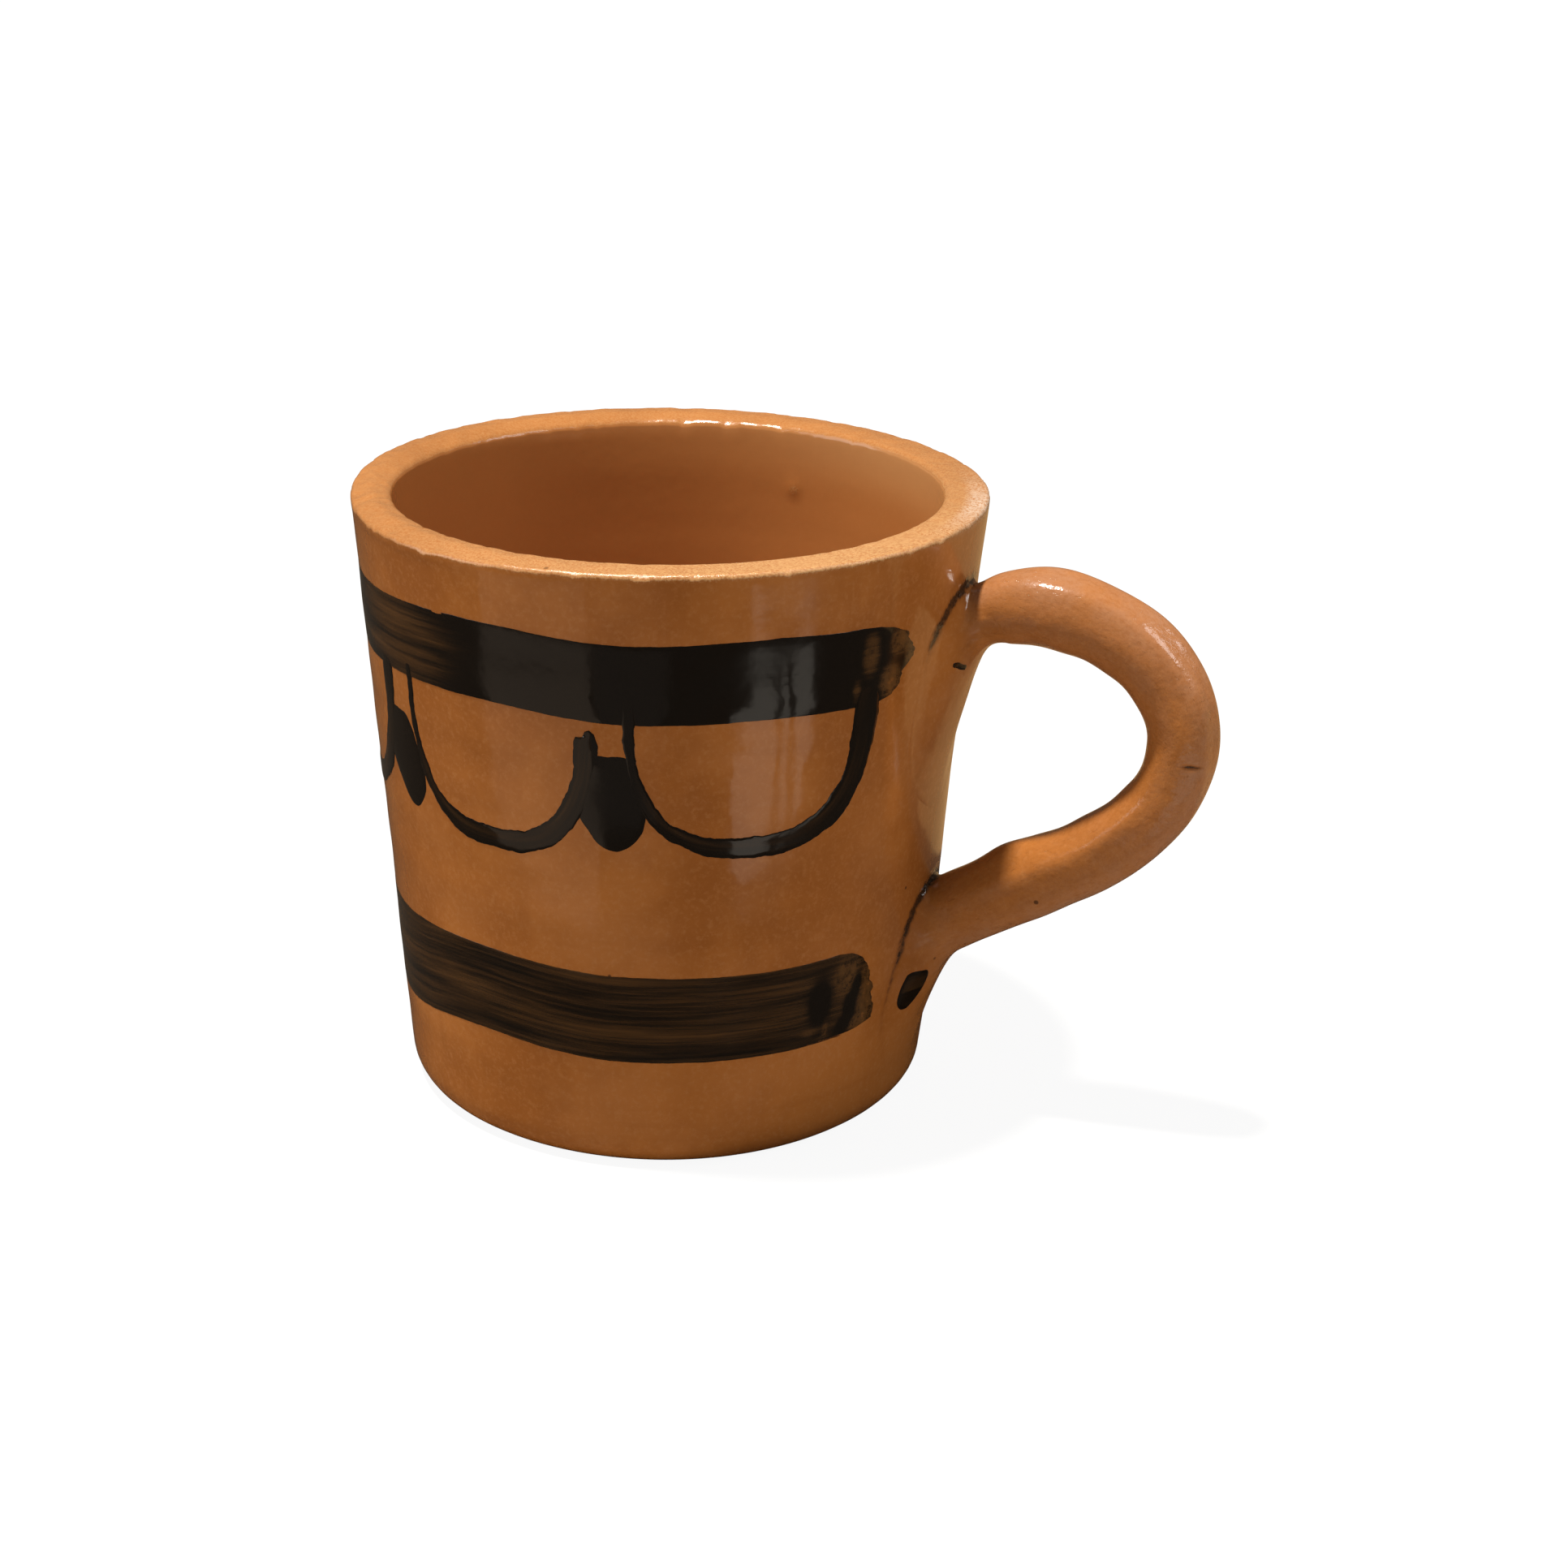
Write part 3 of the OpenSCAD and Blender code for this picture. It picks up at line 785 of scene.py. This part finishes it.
def pressed(away, share):
    """How far a round section is brought in where fingers press it flat beside a soft ridge, by the angle
    away from the ridge: the smooth least of a circle, a flat past the ridge and a flat before it that goes on
    as an arc"""
    flat = 0.965 / np.maximum(np.cos(turned(away, 0.5)), 0.5)
    below = turned(away, -0.5)
    arc = 0.99 + 0.05 * smooth(below, -1.4, -2.6)
    side = np.where(below > 0, 0.99 / np.maximum(np.cos(below), 0.5), arc)
    sharp = 25
    least = -np.log(np.exp(-sharp * 1.03) + np.exp(-sharp * flat) + np.exp(-sharp * side)) / sharp
    return 1 + share * (least - 1)


def coil_surface(size, around):
    """The coil's skin on a grid of its length by the directions around, where 0 is the loop's outer side and
    the viewer's side is negative: a round, lumpy section, pressed flat on both sides of a soft ridge along
    each arm, with a nick across the viewer's side and a swelling inside the lower arm. Returns points, length
    and nick."""
    points, outward, radii = coil_line()
    length = run_length(points)[:, None]
    angle = around[None, :]
    uneven = 0.02 * np.cos(2 * angle - 0.6) + 0.022 * lumps(size.seed + 3, angle, length, finest=7.0)
    radius = radii[:, None] * (1 + uneven)
    wander = 0.1 * np.sin(length / 9)
    upper_arm = smooth(length, 6, 14) * smooth(length, 62, 48)
    lower_arm = smooth(length, 48, 62) * smooth(length, 94, 80)
    radius = radius * pressed(turned(angle, wander - 0.75), upper_arm)
    radius = radius * pressed(turned(angle, wander - 2.05), lower_arm)
    facet = near_turn(angle, -14, 0.2) * bell(length, 41, 7)
    nick = bell(length, 46.3, 0.2) * near_turn(angle, -61, 0.27)
    bump = bell(length, 78.3, 4.6) * near_turn(angle, -170, 0.55)
    radius = radius - 0.2 * facet - 0.5 * nick + 1.0 * bump
    across = np.array([0.0, 1.0, 0.0])
    side = np.cos(angle)[..., None] * outward[:, None, :] + np.sin(angle)[..., None] * across
    return points[:, None, :] + radius[..., None] * side, length, nick


def coil_lie(around):
    """The marks that tell the coil's material where round the coil a point lies"""
    return {"outer": np.cos(around) * COIL_LIE, "aside": np.sin(around) * COIL_LIE}


def wall_place(size, points):
    """Turn, height and distance off the wall of points near its outside"""
    turn = np.arctan2(points[..., 1], points[..., 0])
    height = points[..., 2]
    return turn, height, np.hypot(points[..., 0], points[..., 1]) - wall_radius(size, turn, height)


def at_lift(lifts, values, wanted):
    """Each column's value where its rising lift first passes what is wanted there"""
    columns = range(lifts.shape[1])
    return np.array([np.interp(wanted[c], lifts[:, c], values[:, c]) for c in columns])


def luted_root(size, table, upper):
    """Clay luted round one end of the coil, on a grid of steps by directions: a skirt that lies on the wall,
    a curve that leaves the wall at the table's fullness and runs up tangent to the coil, and a tuck inside
    it. Each curve is a rational quadratic in turn, height and lift, drawn toward its corner. Returns places,
    marks and the height of the coil's axis."""
    directions = np.radians(np.linspace(-180, 180, ROOT_TURNS, endpoint=False))
    at, *columns = np.asarray(table, float).T
    reach, full, climb, crease = (np.interp(np.degrees(directions), at, column) for column in columns)
    around = directions if upper else np.pi - directions
    skin = coil_surface(size, around)[0]
    skin = skin[:110] if upper else skin[::-1][:110]
    turn, height, lift = wall_place(size, skin)
    lift = np.maximum.accumulate(lift + 1e-6 * np.arange(len(lift))[:, None], axis=0)
    _, axis_height, axis_lift = wall_place(size, skin.mean(1))
    root_height = float(np.interp(0.0, axis_lift, axis_height))
    wall_r = wall_radius(size, 0.0, root_height)

    def on_coil(wanted):
        return [at_lift(lift, value, wanted) for value in (turn, height)]

    def from_axis(away):
        return [away * np.sin(directions) / wall_r, root_height + away * np.cos(directions)]

    near = on_coil(0 * full)
    reach = np.maximum(reach, np.hypot(near[0] * wall_r, near[1] - root_height) + 0.25)
    edge = [*from_axis(reach), 0 * full]
    corner = [*on_coil(full), full]
    tip = [*on_coil(climb), climb]
    t = np.linspace(0, 1, 30)[:, None]
    pull = 2 * t * (1 - t) * (2.5 if upper else 1.6)
    whole = (1 - t) ** 2 + pull + t * t
    places = [((1 - t) ** 2 * e + pull * c + t * t * p) / whole for e, c, p in zip(edge, corner, tip)]
    lump = 0.1 * lumps(size.seed + 5, 3 * directions[None], 14 * t) * np.sin(np.pi * t) ** 2
    places[2] = places[2] * (1 - (1 - t) ** (12 if upper else 6)) + lump + 0.03 * (1 - t)
    skirt_steps = np.linspace(2.4, 0.15, 8)[:, None]
    skirt = [*from_axis(reach + skirt_steps), 0.03 - 0.11 * (skirt_steps / 2.4) ** 3 + 0 * full]
    sunk = [skirt[0][:1], skirt[1][:1], skirt[2][:1] - 1.0]
    tail = [[], [], []]
    for further, closer in ((0.5, 0.998), (1.1, 0.99), (1.8, 0.97), (2.4, 0.6)):
        gone = climb + further
        side, level = on_coil(gone)
        line = np.interp(gone, axis_lift, axis_height)
        tail[0].append(side * closer)
        tail[1].append(line + (level - line) * closer)
        tail[2].append(gone)
    rows = [np.vstack(parts) for parts in zip(sunk, skirt, places, tail)]
    steps = np.hypot(np.diff(places[1], axis=0), np.diff(places[2], axis=0))
    steps = np.hypot(steps, np.diff(places[0], axis=0) * wall_r)
    far = np.full((1, ROOT_TURNS), 9.0)
    on_skirt = np.repeat(skirt_steps, ROOT_TURNS, 1)
    away = np.vstack([far, on_skirt, 0 * far, np.cumsum(steps, axis=0), far, far, far, far])
    # How dark the crease is: a narrow core of pooled glaze and a wider ring of painted shade
    pool = crease * (0.65 * bell(away, 0, 1.0) + 0.35 * bell(away, 0, 2.2))
    wall = np.vstack([np.ones((9, 1)), smooth(t, 0.9, 0.25), np.zeros((4, 1))]) + 0 * away
    return rows, {"pool": pool, "wall": wall, **coil_lie(around + 0 * away)}, root_height


def eased(at, table, column):
    """The table's column at those places of its first column, with an S-shaped change from row to row"""
    rows = np.asarray(table, float)
    i = np.clip(np.searchsorted(rows[:, 0], at, side="right") - 1, 0, len(rows) - 2)
    share = smooth(at, rows[i, 0], rows[i + 1, 0])
    return rows[i, column] + (rows[i + 1, column] - rows[i, column]) * share


def band_strip(size, edges, end, seed):
    """A band on a grid of rows across by columns along: its edges follow their table and wander finely, and
    its ends follow theirs. Returns turn, height, and the places along and across it in millimetres."""
    rows, columns = BAND_GRID
    across = (1 + to_border(rows, EDGE_GAP))[:, None] / 2
    along = (1 + to_border(columns, END_GAP))[None] / 2
    along = along - 0.11 * np.sin(2 * np.pi * along) / (2 * np.pi)
    limits = []
    for number, (table, sign) in enumerate(((FAR_END, -1), (end, 1))):
        shares, turns = np.asarray(table, float).T
        wander = sign * 0.35 * ragged(seed + number, across * 12, 5.0, 0.6)
        limits.append(np.radians(np.interp(across, shares, turns) + wander))
    turn = limits[0] + (limits[1] - limits[0]) * along
    run = turn * wall_radius(size, 0.0, edges[0][1])
    low, high = (
        eased(np.degrees(turn), edges, k) + 0.03 * ragged(seed + 1 + k, run, 12.0, 0.8) for k in (1, 2))
    return turn, low + (high - low) * across, run, (high - low) * across


def spots(table, turn, height):
    """Sum of soft oval spots: turn, height, half width in degrees, half height, strength"""
    total = 0.0 * turn
    for middle, level, wide, tall, strength in table:
        away = ((np.degrees(turn) - middle) / wide) ** 2 + ((height - level) / tall) ** 2
        total = total + strength * np.exp(-away ** 1.5)
    return total


def put_slip(name, node, points, sides, skin, marks):
    """A closed stroke of slip, from blocks of flat side faces and blocks of smooth skin"""
    count, total = (sum(len(block) for block in blocks) for blocks in (sides, sides + skin))
    flat = np.arange(total) < count
    material = material_of(brushed_slip)
    return put_piece(name, points, sides + skin, [node], [material], marks, flat=flat)


def brushed_shell(name, node, size, turn, height, marks, thickness):
    """A closed skin of slip over a grid of rows across the stroke by columns along it: thickest in the
    middle, down to nothing at its edges, with its underside sunk a little into the wall"""
    rows, columns = turn.shape
    edge = np.abs(to_border(rows, EDGE_GAP))[:, None]
    ends = np.abs(to_border(columns, END_GAP))[None]
    top = on_wall(size, turn, height, thickness * (1 - edge ** 6) * (1 - ends ** 60) + STROKE_LIFT)
    sunk = on_wall(size, turn[[-1, 0]], height[[-1, 0]], -SUNK)
    points = np.concatenate([top, sunk]).reshape(-1, 3)
    loops = rows + 2
    skin, sides = np.split(grid_quads(loops, columns, wrap_rows=True), [(rows - 1) * (columns - 1)])
    index = np.arange(loops * columns).reshape(loops, columns)
    caps = [index[:, 0][None], index[::-1, -1][None]]
    marks = {key: np.concatenate([value, value[[-1, 0]]]) for key, value in marks.items()}
    return put_slip(name, node, points, [sides, *caps], [skin], marks)


def put_blot(name, node, top, sunk, middles, marks):
    """A closed blot of slip from rings of points that run clockwise as seen from outside, the sunk ring under
    their edge and a middle point above and below"""
    rings, columns = top.shape[:2]
    points = np.vstack([top.reshape(-1, 3), sunk.reshape(-1, 3), middles])
    skin, sides = np.split(grid_quads(rings + 1, columns, wrap_columns=True), [(rings - 1) * columns])
    inner = fan(np.arange(columns), (rings + 1) * columns, outward=False)
    under = fan(np.arange(columns) + rings * columns, (rings + 1) * columns + 1)
    scale = {"along": MM, "across": MM, "cover": 1.0}
    marks = {
        key: scale[key] * np.concatenate([value.ravel(), value[-1], [value[0].mean()] * 2])
        for key, value in marks.items()}
    return put_slip(name, node, points, [sides, under], [skin, inner], marks)


class MUG_OT_throw_body(bpy.types.Operator):
    """Makes the thrown body with its glazed wall and rim and its bare, wire-cut underside"""

    bl_idname = "mug.throw_body"
    bl_label = "Throw the body"

    def execute(self, context):
        rings, marks, glaze_row = thrown_body(in_mm(context))
        rows, columns = rings.shape[:2]
        middles = np.array([[0, 0, rings[0, 0, 2]], [0, 0, rings[-1, :, 2].mean()]])
        points, faces, marks = capped(rings, middles, marks)
        bare = np.concatenate([np.repeat(np.arange(rows - 1) < glaze_row - 1, columns),
                               np.ones(columns, bool), np.zeros(columns, bool)])
        materials = [material_of(glazed_clay), material_of(bare_clay)]
        put_piece("glazed_body", points, faces, ["thrown_body"], materials, marks, bare)
        return {"FINISHED"}


class MUG_OT_bend_coil(bpy.types.Operator):
    """Makes the rolled coil of the handle, with both ends inside the wall"""

    bl_idname = "mug.bend_coil"
    bl_label = "Bend the coil"

    def execute(self, context):
        around = np.linspace(-np.pi, np.pi, COIL_TURNS, endpoint=False)
        rings, length, nick = coil_surface(in_mm(context), around)
        middles = np.array([rings[0].mean(0), rings[-1].mean(0)])
        along = length * MM + 0 * nick
        # The nick is darkened by the crease's mark: pooled glaze with painted shade
        marks = {"along": along, "pool": nick, "wall": 0 * nick, **coil_lie(around + 0 * nick)}
        points, faces, marks = capped(rings, middles, marks, flipped=True)
        materials = [material_of(glazed_coil)]
        put_piece("glazed_handle", points, faces, ["handle_coil"], materials, marks)
        return {"FINISHED"}


class MUG_OT_lute_roots(bpy.types.Operator):
    """Makes the clay smoothed round both ends of the handle, with glaze pooled dark in its creases and
    painted shade round it
    """

    bl_idname = "mug.lute_roots"
    bl_label = "Lute the roots"

    def execute(self, context):
        size = in_mm(context)
        for name, node, table, upper in (
            ("upper_luting", "upper_root", UPPER_ROOT, True),
            ("lower_luting", "lower_root", LOWER_ROOT, False),
        ):
            places, marks, root_height = luted_root(size, table, upper)
            rings = on_wall(size, *places)
            level, lift = (place[-1].mean() for place in places[1:])
            middles = on_wall(size, np.zeros(2), np.array([root_height, level]), np.array([-1.0, lift]))
            marks = {"along": rings[..., 2] * MM, **marks}
            points, faces, marks = capped(rings, middles, marks, flipped=True)
            put_piece(name, points, faces, [node], [material_of(glazed_coil)], marks)
        return {"FINISHED"}


class MUG_OT_brush_bands(bpy.types.Operator):
    """Makes the two broad bands of slip, with their dry, ragged ends at the handle"""

    bl_idname = "mug.brush_bands"
    bl_label = "Brush the bands"

    def execute(self, context):
        size = in_mm(context)
        for name, node, edges, end, dry, full, seed in (
            ("brushed_upper_band", "upper_band", UPPER_BAND, UPPER_END, UPPER_DRY, 0.99, 31),
            ("brushed_lower_band", "lower_band", LOWER_BAND, LOWER_END, LOWER_DRY, 0.75, 51),
        ):
            turn, height, run, across = band_strip(size, edges, end, seed)
            cover = np.clip(full - spots(dry, turn, height), LEAST_COVER, 1.0)
            first, last = turn.min(1, keepdims=True), turn.max(1, keepdims=True)
            from_end = np.minimum(last - turn, turn - first) * BAND_RADIUS
            border = np.minimum(np.minimum(across, across.max(0) - across), from_end)
            cover = np.maximum(cover, 0.66 * smooth(border, 0.4, 0.05))
            marks = {"along": run * MM, "across": across * MM, "cover": cover}
            brushed_shell(name, node, size, turn, height, marks, size.slip)
        return {"FINISHED"}


class MUG_OT_brush_festoon(bpy.types.Operator):
    """Makes the swags that hang from the upper band and the drops between them"""

    bl_idname = "mug.brush_festoon"
    bl_label = "Brush the festoon"

    def execute(self, context):
        size = in_mm(context)
        for number, row in enumerate(SWAGS, 1):
            self.swag(size, number, *row)
        for number, row in enumerate(DROPS, 1):
            self.drop(size, number, *row)
        return {"FINISHED"}

    def swag(self, size, number, middle, half, depth, thin, belly, thick, thin_run, thick_run, lean):
        """One loop: a half superellipse between two upright arms, whose width goes from thin through belly to
        thick, with uneven edges"""
        rows, columns = SWAG_GRID
        top = size.band_foot
        span = wall_radius(size, 0.0, top) * math.pi / 180
        power = 2 / 2.6
        angle = np.pi * (1 + np.linspace(0, 1, columns))
        side = np.sign(np.cos(angle)) * np.abs(np.cos(angle)) ** power * half * span
        down = -depth * np.abs(np.sin(angle)) ** power
        falling = np.linspace(1, 0, 24)[:-1]
        rising = falling[::-1]
        line = np.concatenate([
            np.stack([side[0] + 0 * falling, falling * thin_run], -1),
            np.stack([side, down], -1),
            np.stack([side[-1] + lean * rising ** 2, rising * thick_run], -1),
        ])
        line = line[(line[:, 0] < 0) | (line[:, 1] <= thick_run)]
        line = line[np.diff(run_length(line), prepend=-1) > 1e-6]
        length = run_length(line)
        at = length[-1] * (1 + to_border(columns, END_GAP)) / 2
        line = np.stack([np.interp(at, length, line[:, k]) for k in (0, 1)], -1)
        tangent = np.gradient(line, axis=0)
        tangent /= np.linalg.norm(tangent, axis=1)[:, None]
        left = np.stack([-tangent[:, 1], tangent[:, 0]], -1)
        share = at / length[-1]
        widths = [thin, thin * 1.15, belly, (belly + thick) / 2, thick]
        width = np.interp(share, [0, 0.22, 0.5, 0.78, 1], widths)
        from_end = np.clip(np.minimum(at, at[-1] - at) / (width / 2), 0.03, 1.0)
        width = width * np.sqrt(from_end * (2 - from_end))
        seed = size.seed + 100 * number
        edges = [0.13 * ragged(seed + k, at, 14.0, 0.8) for k in (0, 1)]
        across = to_border(rows, EDGE_GAP)[:, None] / 2
        offset = across * width + np.where(across < 0, -edges[0], edges[1]) * np.abs(2 * across)
        place = line[None] + offset[..., None] * left[None]
        turn = np.radians(middle + place[..., 0] / span)
        height = top + place[..., 1]
        cover = 1.0 - 0.14 * smooth(np.abs(across), 0.46, 0.30) * smooth(share, 0.1, 0.3) + 0 * offset
        marks = {"along": (at + 0 * offset) * MM, "across": offset * MM, "cover": cover}
        name = f"swag_{number}"
        brushed_shell("brushed_" + name, name, size, turn, height, marks, size.slip * SWAG_SLIP)

    def drop(self, size, number, middle, level, wide, tall, lean):
        """One blot on a grid of rings by directions: the drop's outline with a finely wandering edge"""
        rings, columns = DROP_GRID
        wander = 0.02 * ragged(size.seed + 900 + number, np.arange(columns) * 0.4, 38.4, 1.6)
        edge = closed_outline(DROP_OUTLINE, columns) * (1 + wander)[:, None]
        share = ring_shares(0.06, rings)
        side, up = share * edge[:, 0] * wide, share * edge[:, 1] * tall
        height = level + up
        turn = np.radians(middle - lean * up / 14) + side / wall_radius(size, 0.0, level)
        lift = size.slip * BLOT_SLIP * (1 - share ** 8) + DROP_LIFT + 0 * side
        top = on_wall(size, turn, height, lift)
        sunk = on_wall(size, turn[-1:], height[-1:], -SUNK)
        middles = on_wall(size, turn[:1].mean(), height[:1].mean(), np.array([lift.max(), -SUNK]))
        marks = {"along": up, "across": side, "cover": 0.98 + 0 * side}
        name = f"drop_{number}"
        put_blot("brushed_" + name, name, top, sunk, middles, marks)


class MUG_OT_brush_root_marks(bpy.types.Operator):
    """Makes the dab of slip on the lower root and the stray fleck on the upper one"""

    bl_idname = "mug.brush_root_marks"
    bl_label = "Brush the root marks"

    def execute(self, context):
        size = in_mm(context)
        self.spot(size, "brushed_dab", "handle_dab", LOWER_ROOT, False, DAB_PLACE, DAB_OUTLINE, 5)
        self.spot(size, "brushed_fleck", "root_fleck", UPPER_ROOT, True, FLECK_PLACE, FLECK_OUTLINE, 9)
        return {"FINISHED"}

    def spot(self, size, name, node, table, upper, place, outline, seed):
        """A blot on a root, on a grid of rings by directions. Its lift is the root's own there: that of the
        plane which best fits the root's points round each place, weighted by nearness."""
        rings, columns = SPOT_GRID
        share = ring_shares(0.1, rings)
        wander = 1 + 0.016 * ragged(seed, np.arange(columns) * 0.4, 28.8, 3.2)
        a, b = (share * side * wander for side in closed_outline(outline, columns).T)
        across, height = place[0] + a, place[1] + b
        radius = wall_radius(size, 0.0, place[1])
        turn = across / radius
        root = [row[1:-1].ravel() for row in luted_root(size, table, upper)[0]]
        known = np.stack([root[0] * radius, root[1], root[2]], -1)
        known = known[np.linalg.norm(known[:, :2] - place, axis=1) < 6.0]
        asked = np.stack([across.ravel(), height.ravel()], -1)
        away = known[None, :, :2] - asked[:, None]
        weight = np.exp(-np.sum(away ** 2, axis=2) / 0.7 ** 2)
        plane = np.concatenate([np.ones_like(away[..., :1]), away], 2)
        weighed = (weight[..., None] * plane).swapaxes(1, 2)
        ground = np.linalg.solve(weighed @ plane, weighed @ known[:, 2:])[:, 0, 0].reshape(rings, columns)
        lift = ground + size.slip * BLOT_SLIP * (1 - share ** 8) + SPOT_LIFT
        top = on_wall(size, turn, height, lift)
        sunk = on_wall(size, turn[-1:], height[-1:], ground[-1:] - SPOT_SUNK)
        lifts = np.array([lift[0].mean(), ground[0].mean() - SPOT_SUNK])
        middles = on_wall(size, turn[:1].mean(), height[:1].mean(), lifts)
        cover = 0.80 + 0.15 * share ** 6 + 0 * a
        put_blot(name, node, top, sunk, middles, {"along": a, "across": b, "cover": cover})


class MUG_OT_set_stage(bpy.types.Operator):
    """Sets the pale floor, the cards on it, the soft studio light and the camera"""

    bl_idname = "mug.set_stage"
    bl_label = "Set the stage"

    def execute(self, context):
        stage = context.scene.mug_stage
        self.lay_floor()
        self.lay_cards(stage)
        self.light(context.scene, stage)
        self.place_camera(context.scene, stage)
        context.scene.view_settings.view_transform = "Standard"
        return {"FINISHED"}

    def sheet(self, name, corners, material):
        """A flat sheet of one face"""
        mesh = bpy.data.meshes.new(name)
        mesh.from_pydata(corners, [], [list(range(len(corners)))])
        mesh.materials.append(material)
        laid = bpy.data.objects.new(name, mesh)
        bpy.context.scene.collection.objects.link(laid)
        return laid

    def lay_floor(self):
        """A pale floor that the camera sees as white, less the shadow on it"""
        material = bpy.data.materials.new("pale_floor")
        w = Wiring(material)
        seen, mirrored = w.rays()
        dim = w.blend(mirrored, (0.42, 0.39, 0.36), (0.03, 0.025, 0.02))
        paint = w.signal("BsdfDiffuse", {"Color": w.blend(seen, dim, (0.8, 0.8, 0.8))})
        white = w.signal("Emission", {"Color": WHITE, "Strength": 1.0})
        w.node("OutputMaterial", {"Surface": w.signal("MixShader", {0: seen * 0.92, 1: paint, 2: white})})
        corners = [(x * FLOOR_HALF, y * FLOOR_HALF, 0) for x, y in ((-1, -1), (1, -1), (1, 1), (-1, 1))]
        floor = self.sheet("floor", corners, material)

    def lay_cards(self, stage):
        """Cards on the floor, which only the glaze's reflections see"""
        for number, (tint, outline) in enumerate(CARDS, 1):
            material = bpy.data.materials.new(f"pale_card_{number}")
            w = Wiring(material)
            glow = w.signal("Emission", {"Color": (*tint, 1.0), "Strength": stage.cards})
            w.node("OutputMaterial", {"Surface": glow})
            corners = [(x * MM, y * MM, CARD_HEIGHT) for x, y in outline]
            card = self.sheet(f"card_{number}", corners, material)
            for ray in ("camera", "diffuse", "transmission", "shadow"):
                setattr(card, "visible_" + ray, False)

    def light(self, scene, stage):
        """A high key light from the viewer's left, a soft box there, a smaller one at the right and even
        light all round, which the camera sees as white"""
        key = bpy.data.lights.new("key", "SUN")
        key.energy = stage.key
        key.angle = math.radians(4)
        key.color = WARM_WHITE
        self.aim(scene, key, VIEW_TURN - 80, 78, SUN_DISTANCE)
        for name, energy, wide, azimuth, elevation in (
            ("side_box", stage.side, 0.6, -82, 22),
            ("fill_box", stage.fill, 0.34, 85, 40),
        ):
            box = bpy.data.lights.new(name, "AREA")
            box.size = wide
            box.energy = energy
            self.aim(scene, box, VIEW_TURN + azimuth, elevation, BOX_DISTANCE)
        world = bpy.data.worlds.new("even_light")
        w = Wiring(world)
        seen, mirrored = w.rays()
        tint = w.blend(mirrored, WARM_WHITE, (0.6, 0.42, 0.28))
        soft = w.signal("Background", {"Color": tint, "Strength": stage.ambient})
        white = w.signal("Background", {"Color": WHITE, "Strength": 1.0})
        w.node("OutputWorld", {"Surface": w.signal("MixShader", {0: seen, 1: soft, 2: white})})
        scene.world = world

    def outward(self, azimuth, elevation):
        """Direction from the mug's middle, where azimuth 0 is the side of -Y"""
        flat = math.cos(elevation)
        return Vector((math.sin(azimuth) * flat, -math.cos(azimuth) * flat, math.sin(elevation)))

    def aim(self, scene, data, azimuth, elevation, distance):
        """Places a lamp round the mug's middle and aims it there, with its angles in degrees"""
        back = self.outward(math.radians(azimuth), math.radians(elevation))
        lamp = bpy.data.objects.new(data.name, data)
        scene.collection.objects.link(lamp)
        turn = back.to_track_quat("Z", "Y").to_matrix().to_4x4()
        lamp.matrix_world = Matrix.Translation(Vector(LAMP_AIM) + back * distance) @ turn

    def place_camera(self, scene, stage):
        """A camera at the stage's azimuth, elevation, roll and distance from the point it aims at"""
        roll = stage.roll
        back = self.outward(stage.azimuth, stage.elevation)
        level = Vector((math.cos(stage.azimuth), math.sin(stage.azimuth), 0))
        above = back.cross(level)
        right = math.cos(roll) * level + math.sin(roll) * above
        up = -math.sin(roll) * level + math.cos(roll) * above
        data = bpy.data.cameras.new("camera")
        data.sensor_width = 36.0
        data.lens = stage.lens
        data.clip_start, data.clip_end = 0.01, 50.0
        camera = bpy.data.objects.new("camera", data)
        scene.collection.objects.link(camera)
        turn = Matrix((right, up, back)).transposed().to_4x4()
        camera.matrix_world = Matrix.Translation(Vector(stage.aim) + back * stage.distance) @ turn
        scene.camera = camera


GROUPS = (("mug_sizes", MugSizes), ("mug_colours", MugColours), ("mug_stage", MugStage))
OPERATORS = (
    MUG_OT_throw_body,
    MUG_OT_bend_coil,
    MUG_OT_lute_roots,
    MUG_OT_brush_bands,
    MUG_OT_brush_festoon,
    MUG_OT_brush_root_marks,
    MUG_OT_set_stage,
)


class MUG_PT_pieces(bpy.types.Panel):
    """Lists the mug's pieces and its sizes, colours and stage"""

    bl_label = "Mug"
    bl_idname = "MUG_PT_pieces"
    bl_space_type = "VIEW_3D"
    bl_region_type = "UI"
    bl_category = "Mug"

    def draw(self, context):
        for operator in OPERATORS:
            self.layout.operator(operator.bl_idname)
        for name, group in GROUPS:
            box = self.layout.box()
            for item in group.__annotations__:
                box.prop(getattr(context.scene, name), item)


def register():
    for name, group in GROUPS:
        bpy.utils.register_class(group)
        setattr(bpy.types.Scene, name, PointerProperty(type=group))
    for item in (*OPERATORS, MUG_PT_pieces):
        bpy.utils.register_class(item)


def unregister():
    for item in (MUG_PT_pieces, *reversed(OPERATORS)):
        bpy.utils.unregister_class(item)
    for name, group in reversed(GROUPS):
        delattr(bpy.types.Scene, name)
        bpy.utils.unregister_class(group)


def main():
    register()
    bpy.ops.mug.throw_body()
    bpy.ops.mug.bend_coil()
    bpy.ops.mug.lute_roots()
    bpy.ops.mug.brush_bands()
    bpy.ops.mug.brush_festoon()
    bpy.ops.mug.brush_root_marks()
    bpy.ops.mug.set_stage()


if __name__ == "__main__":
    main()
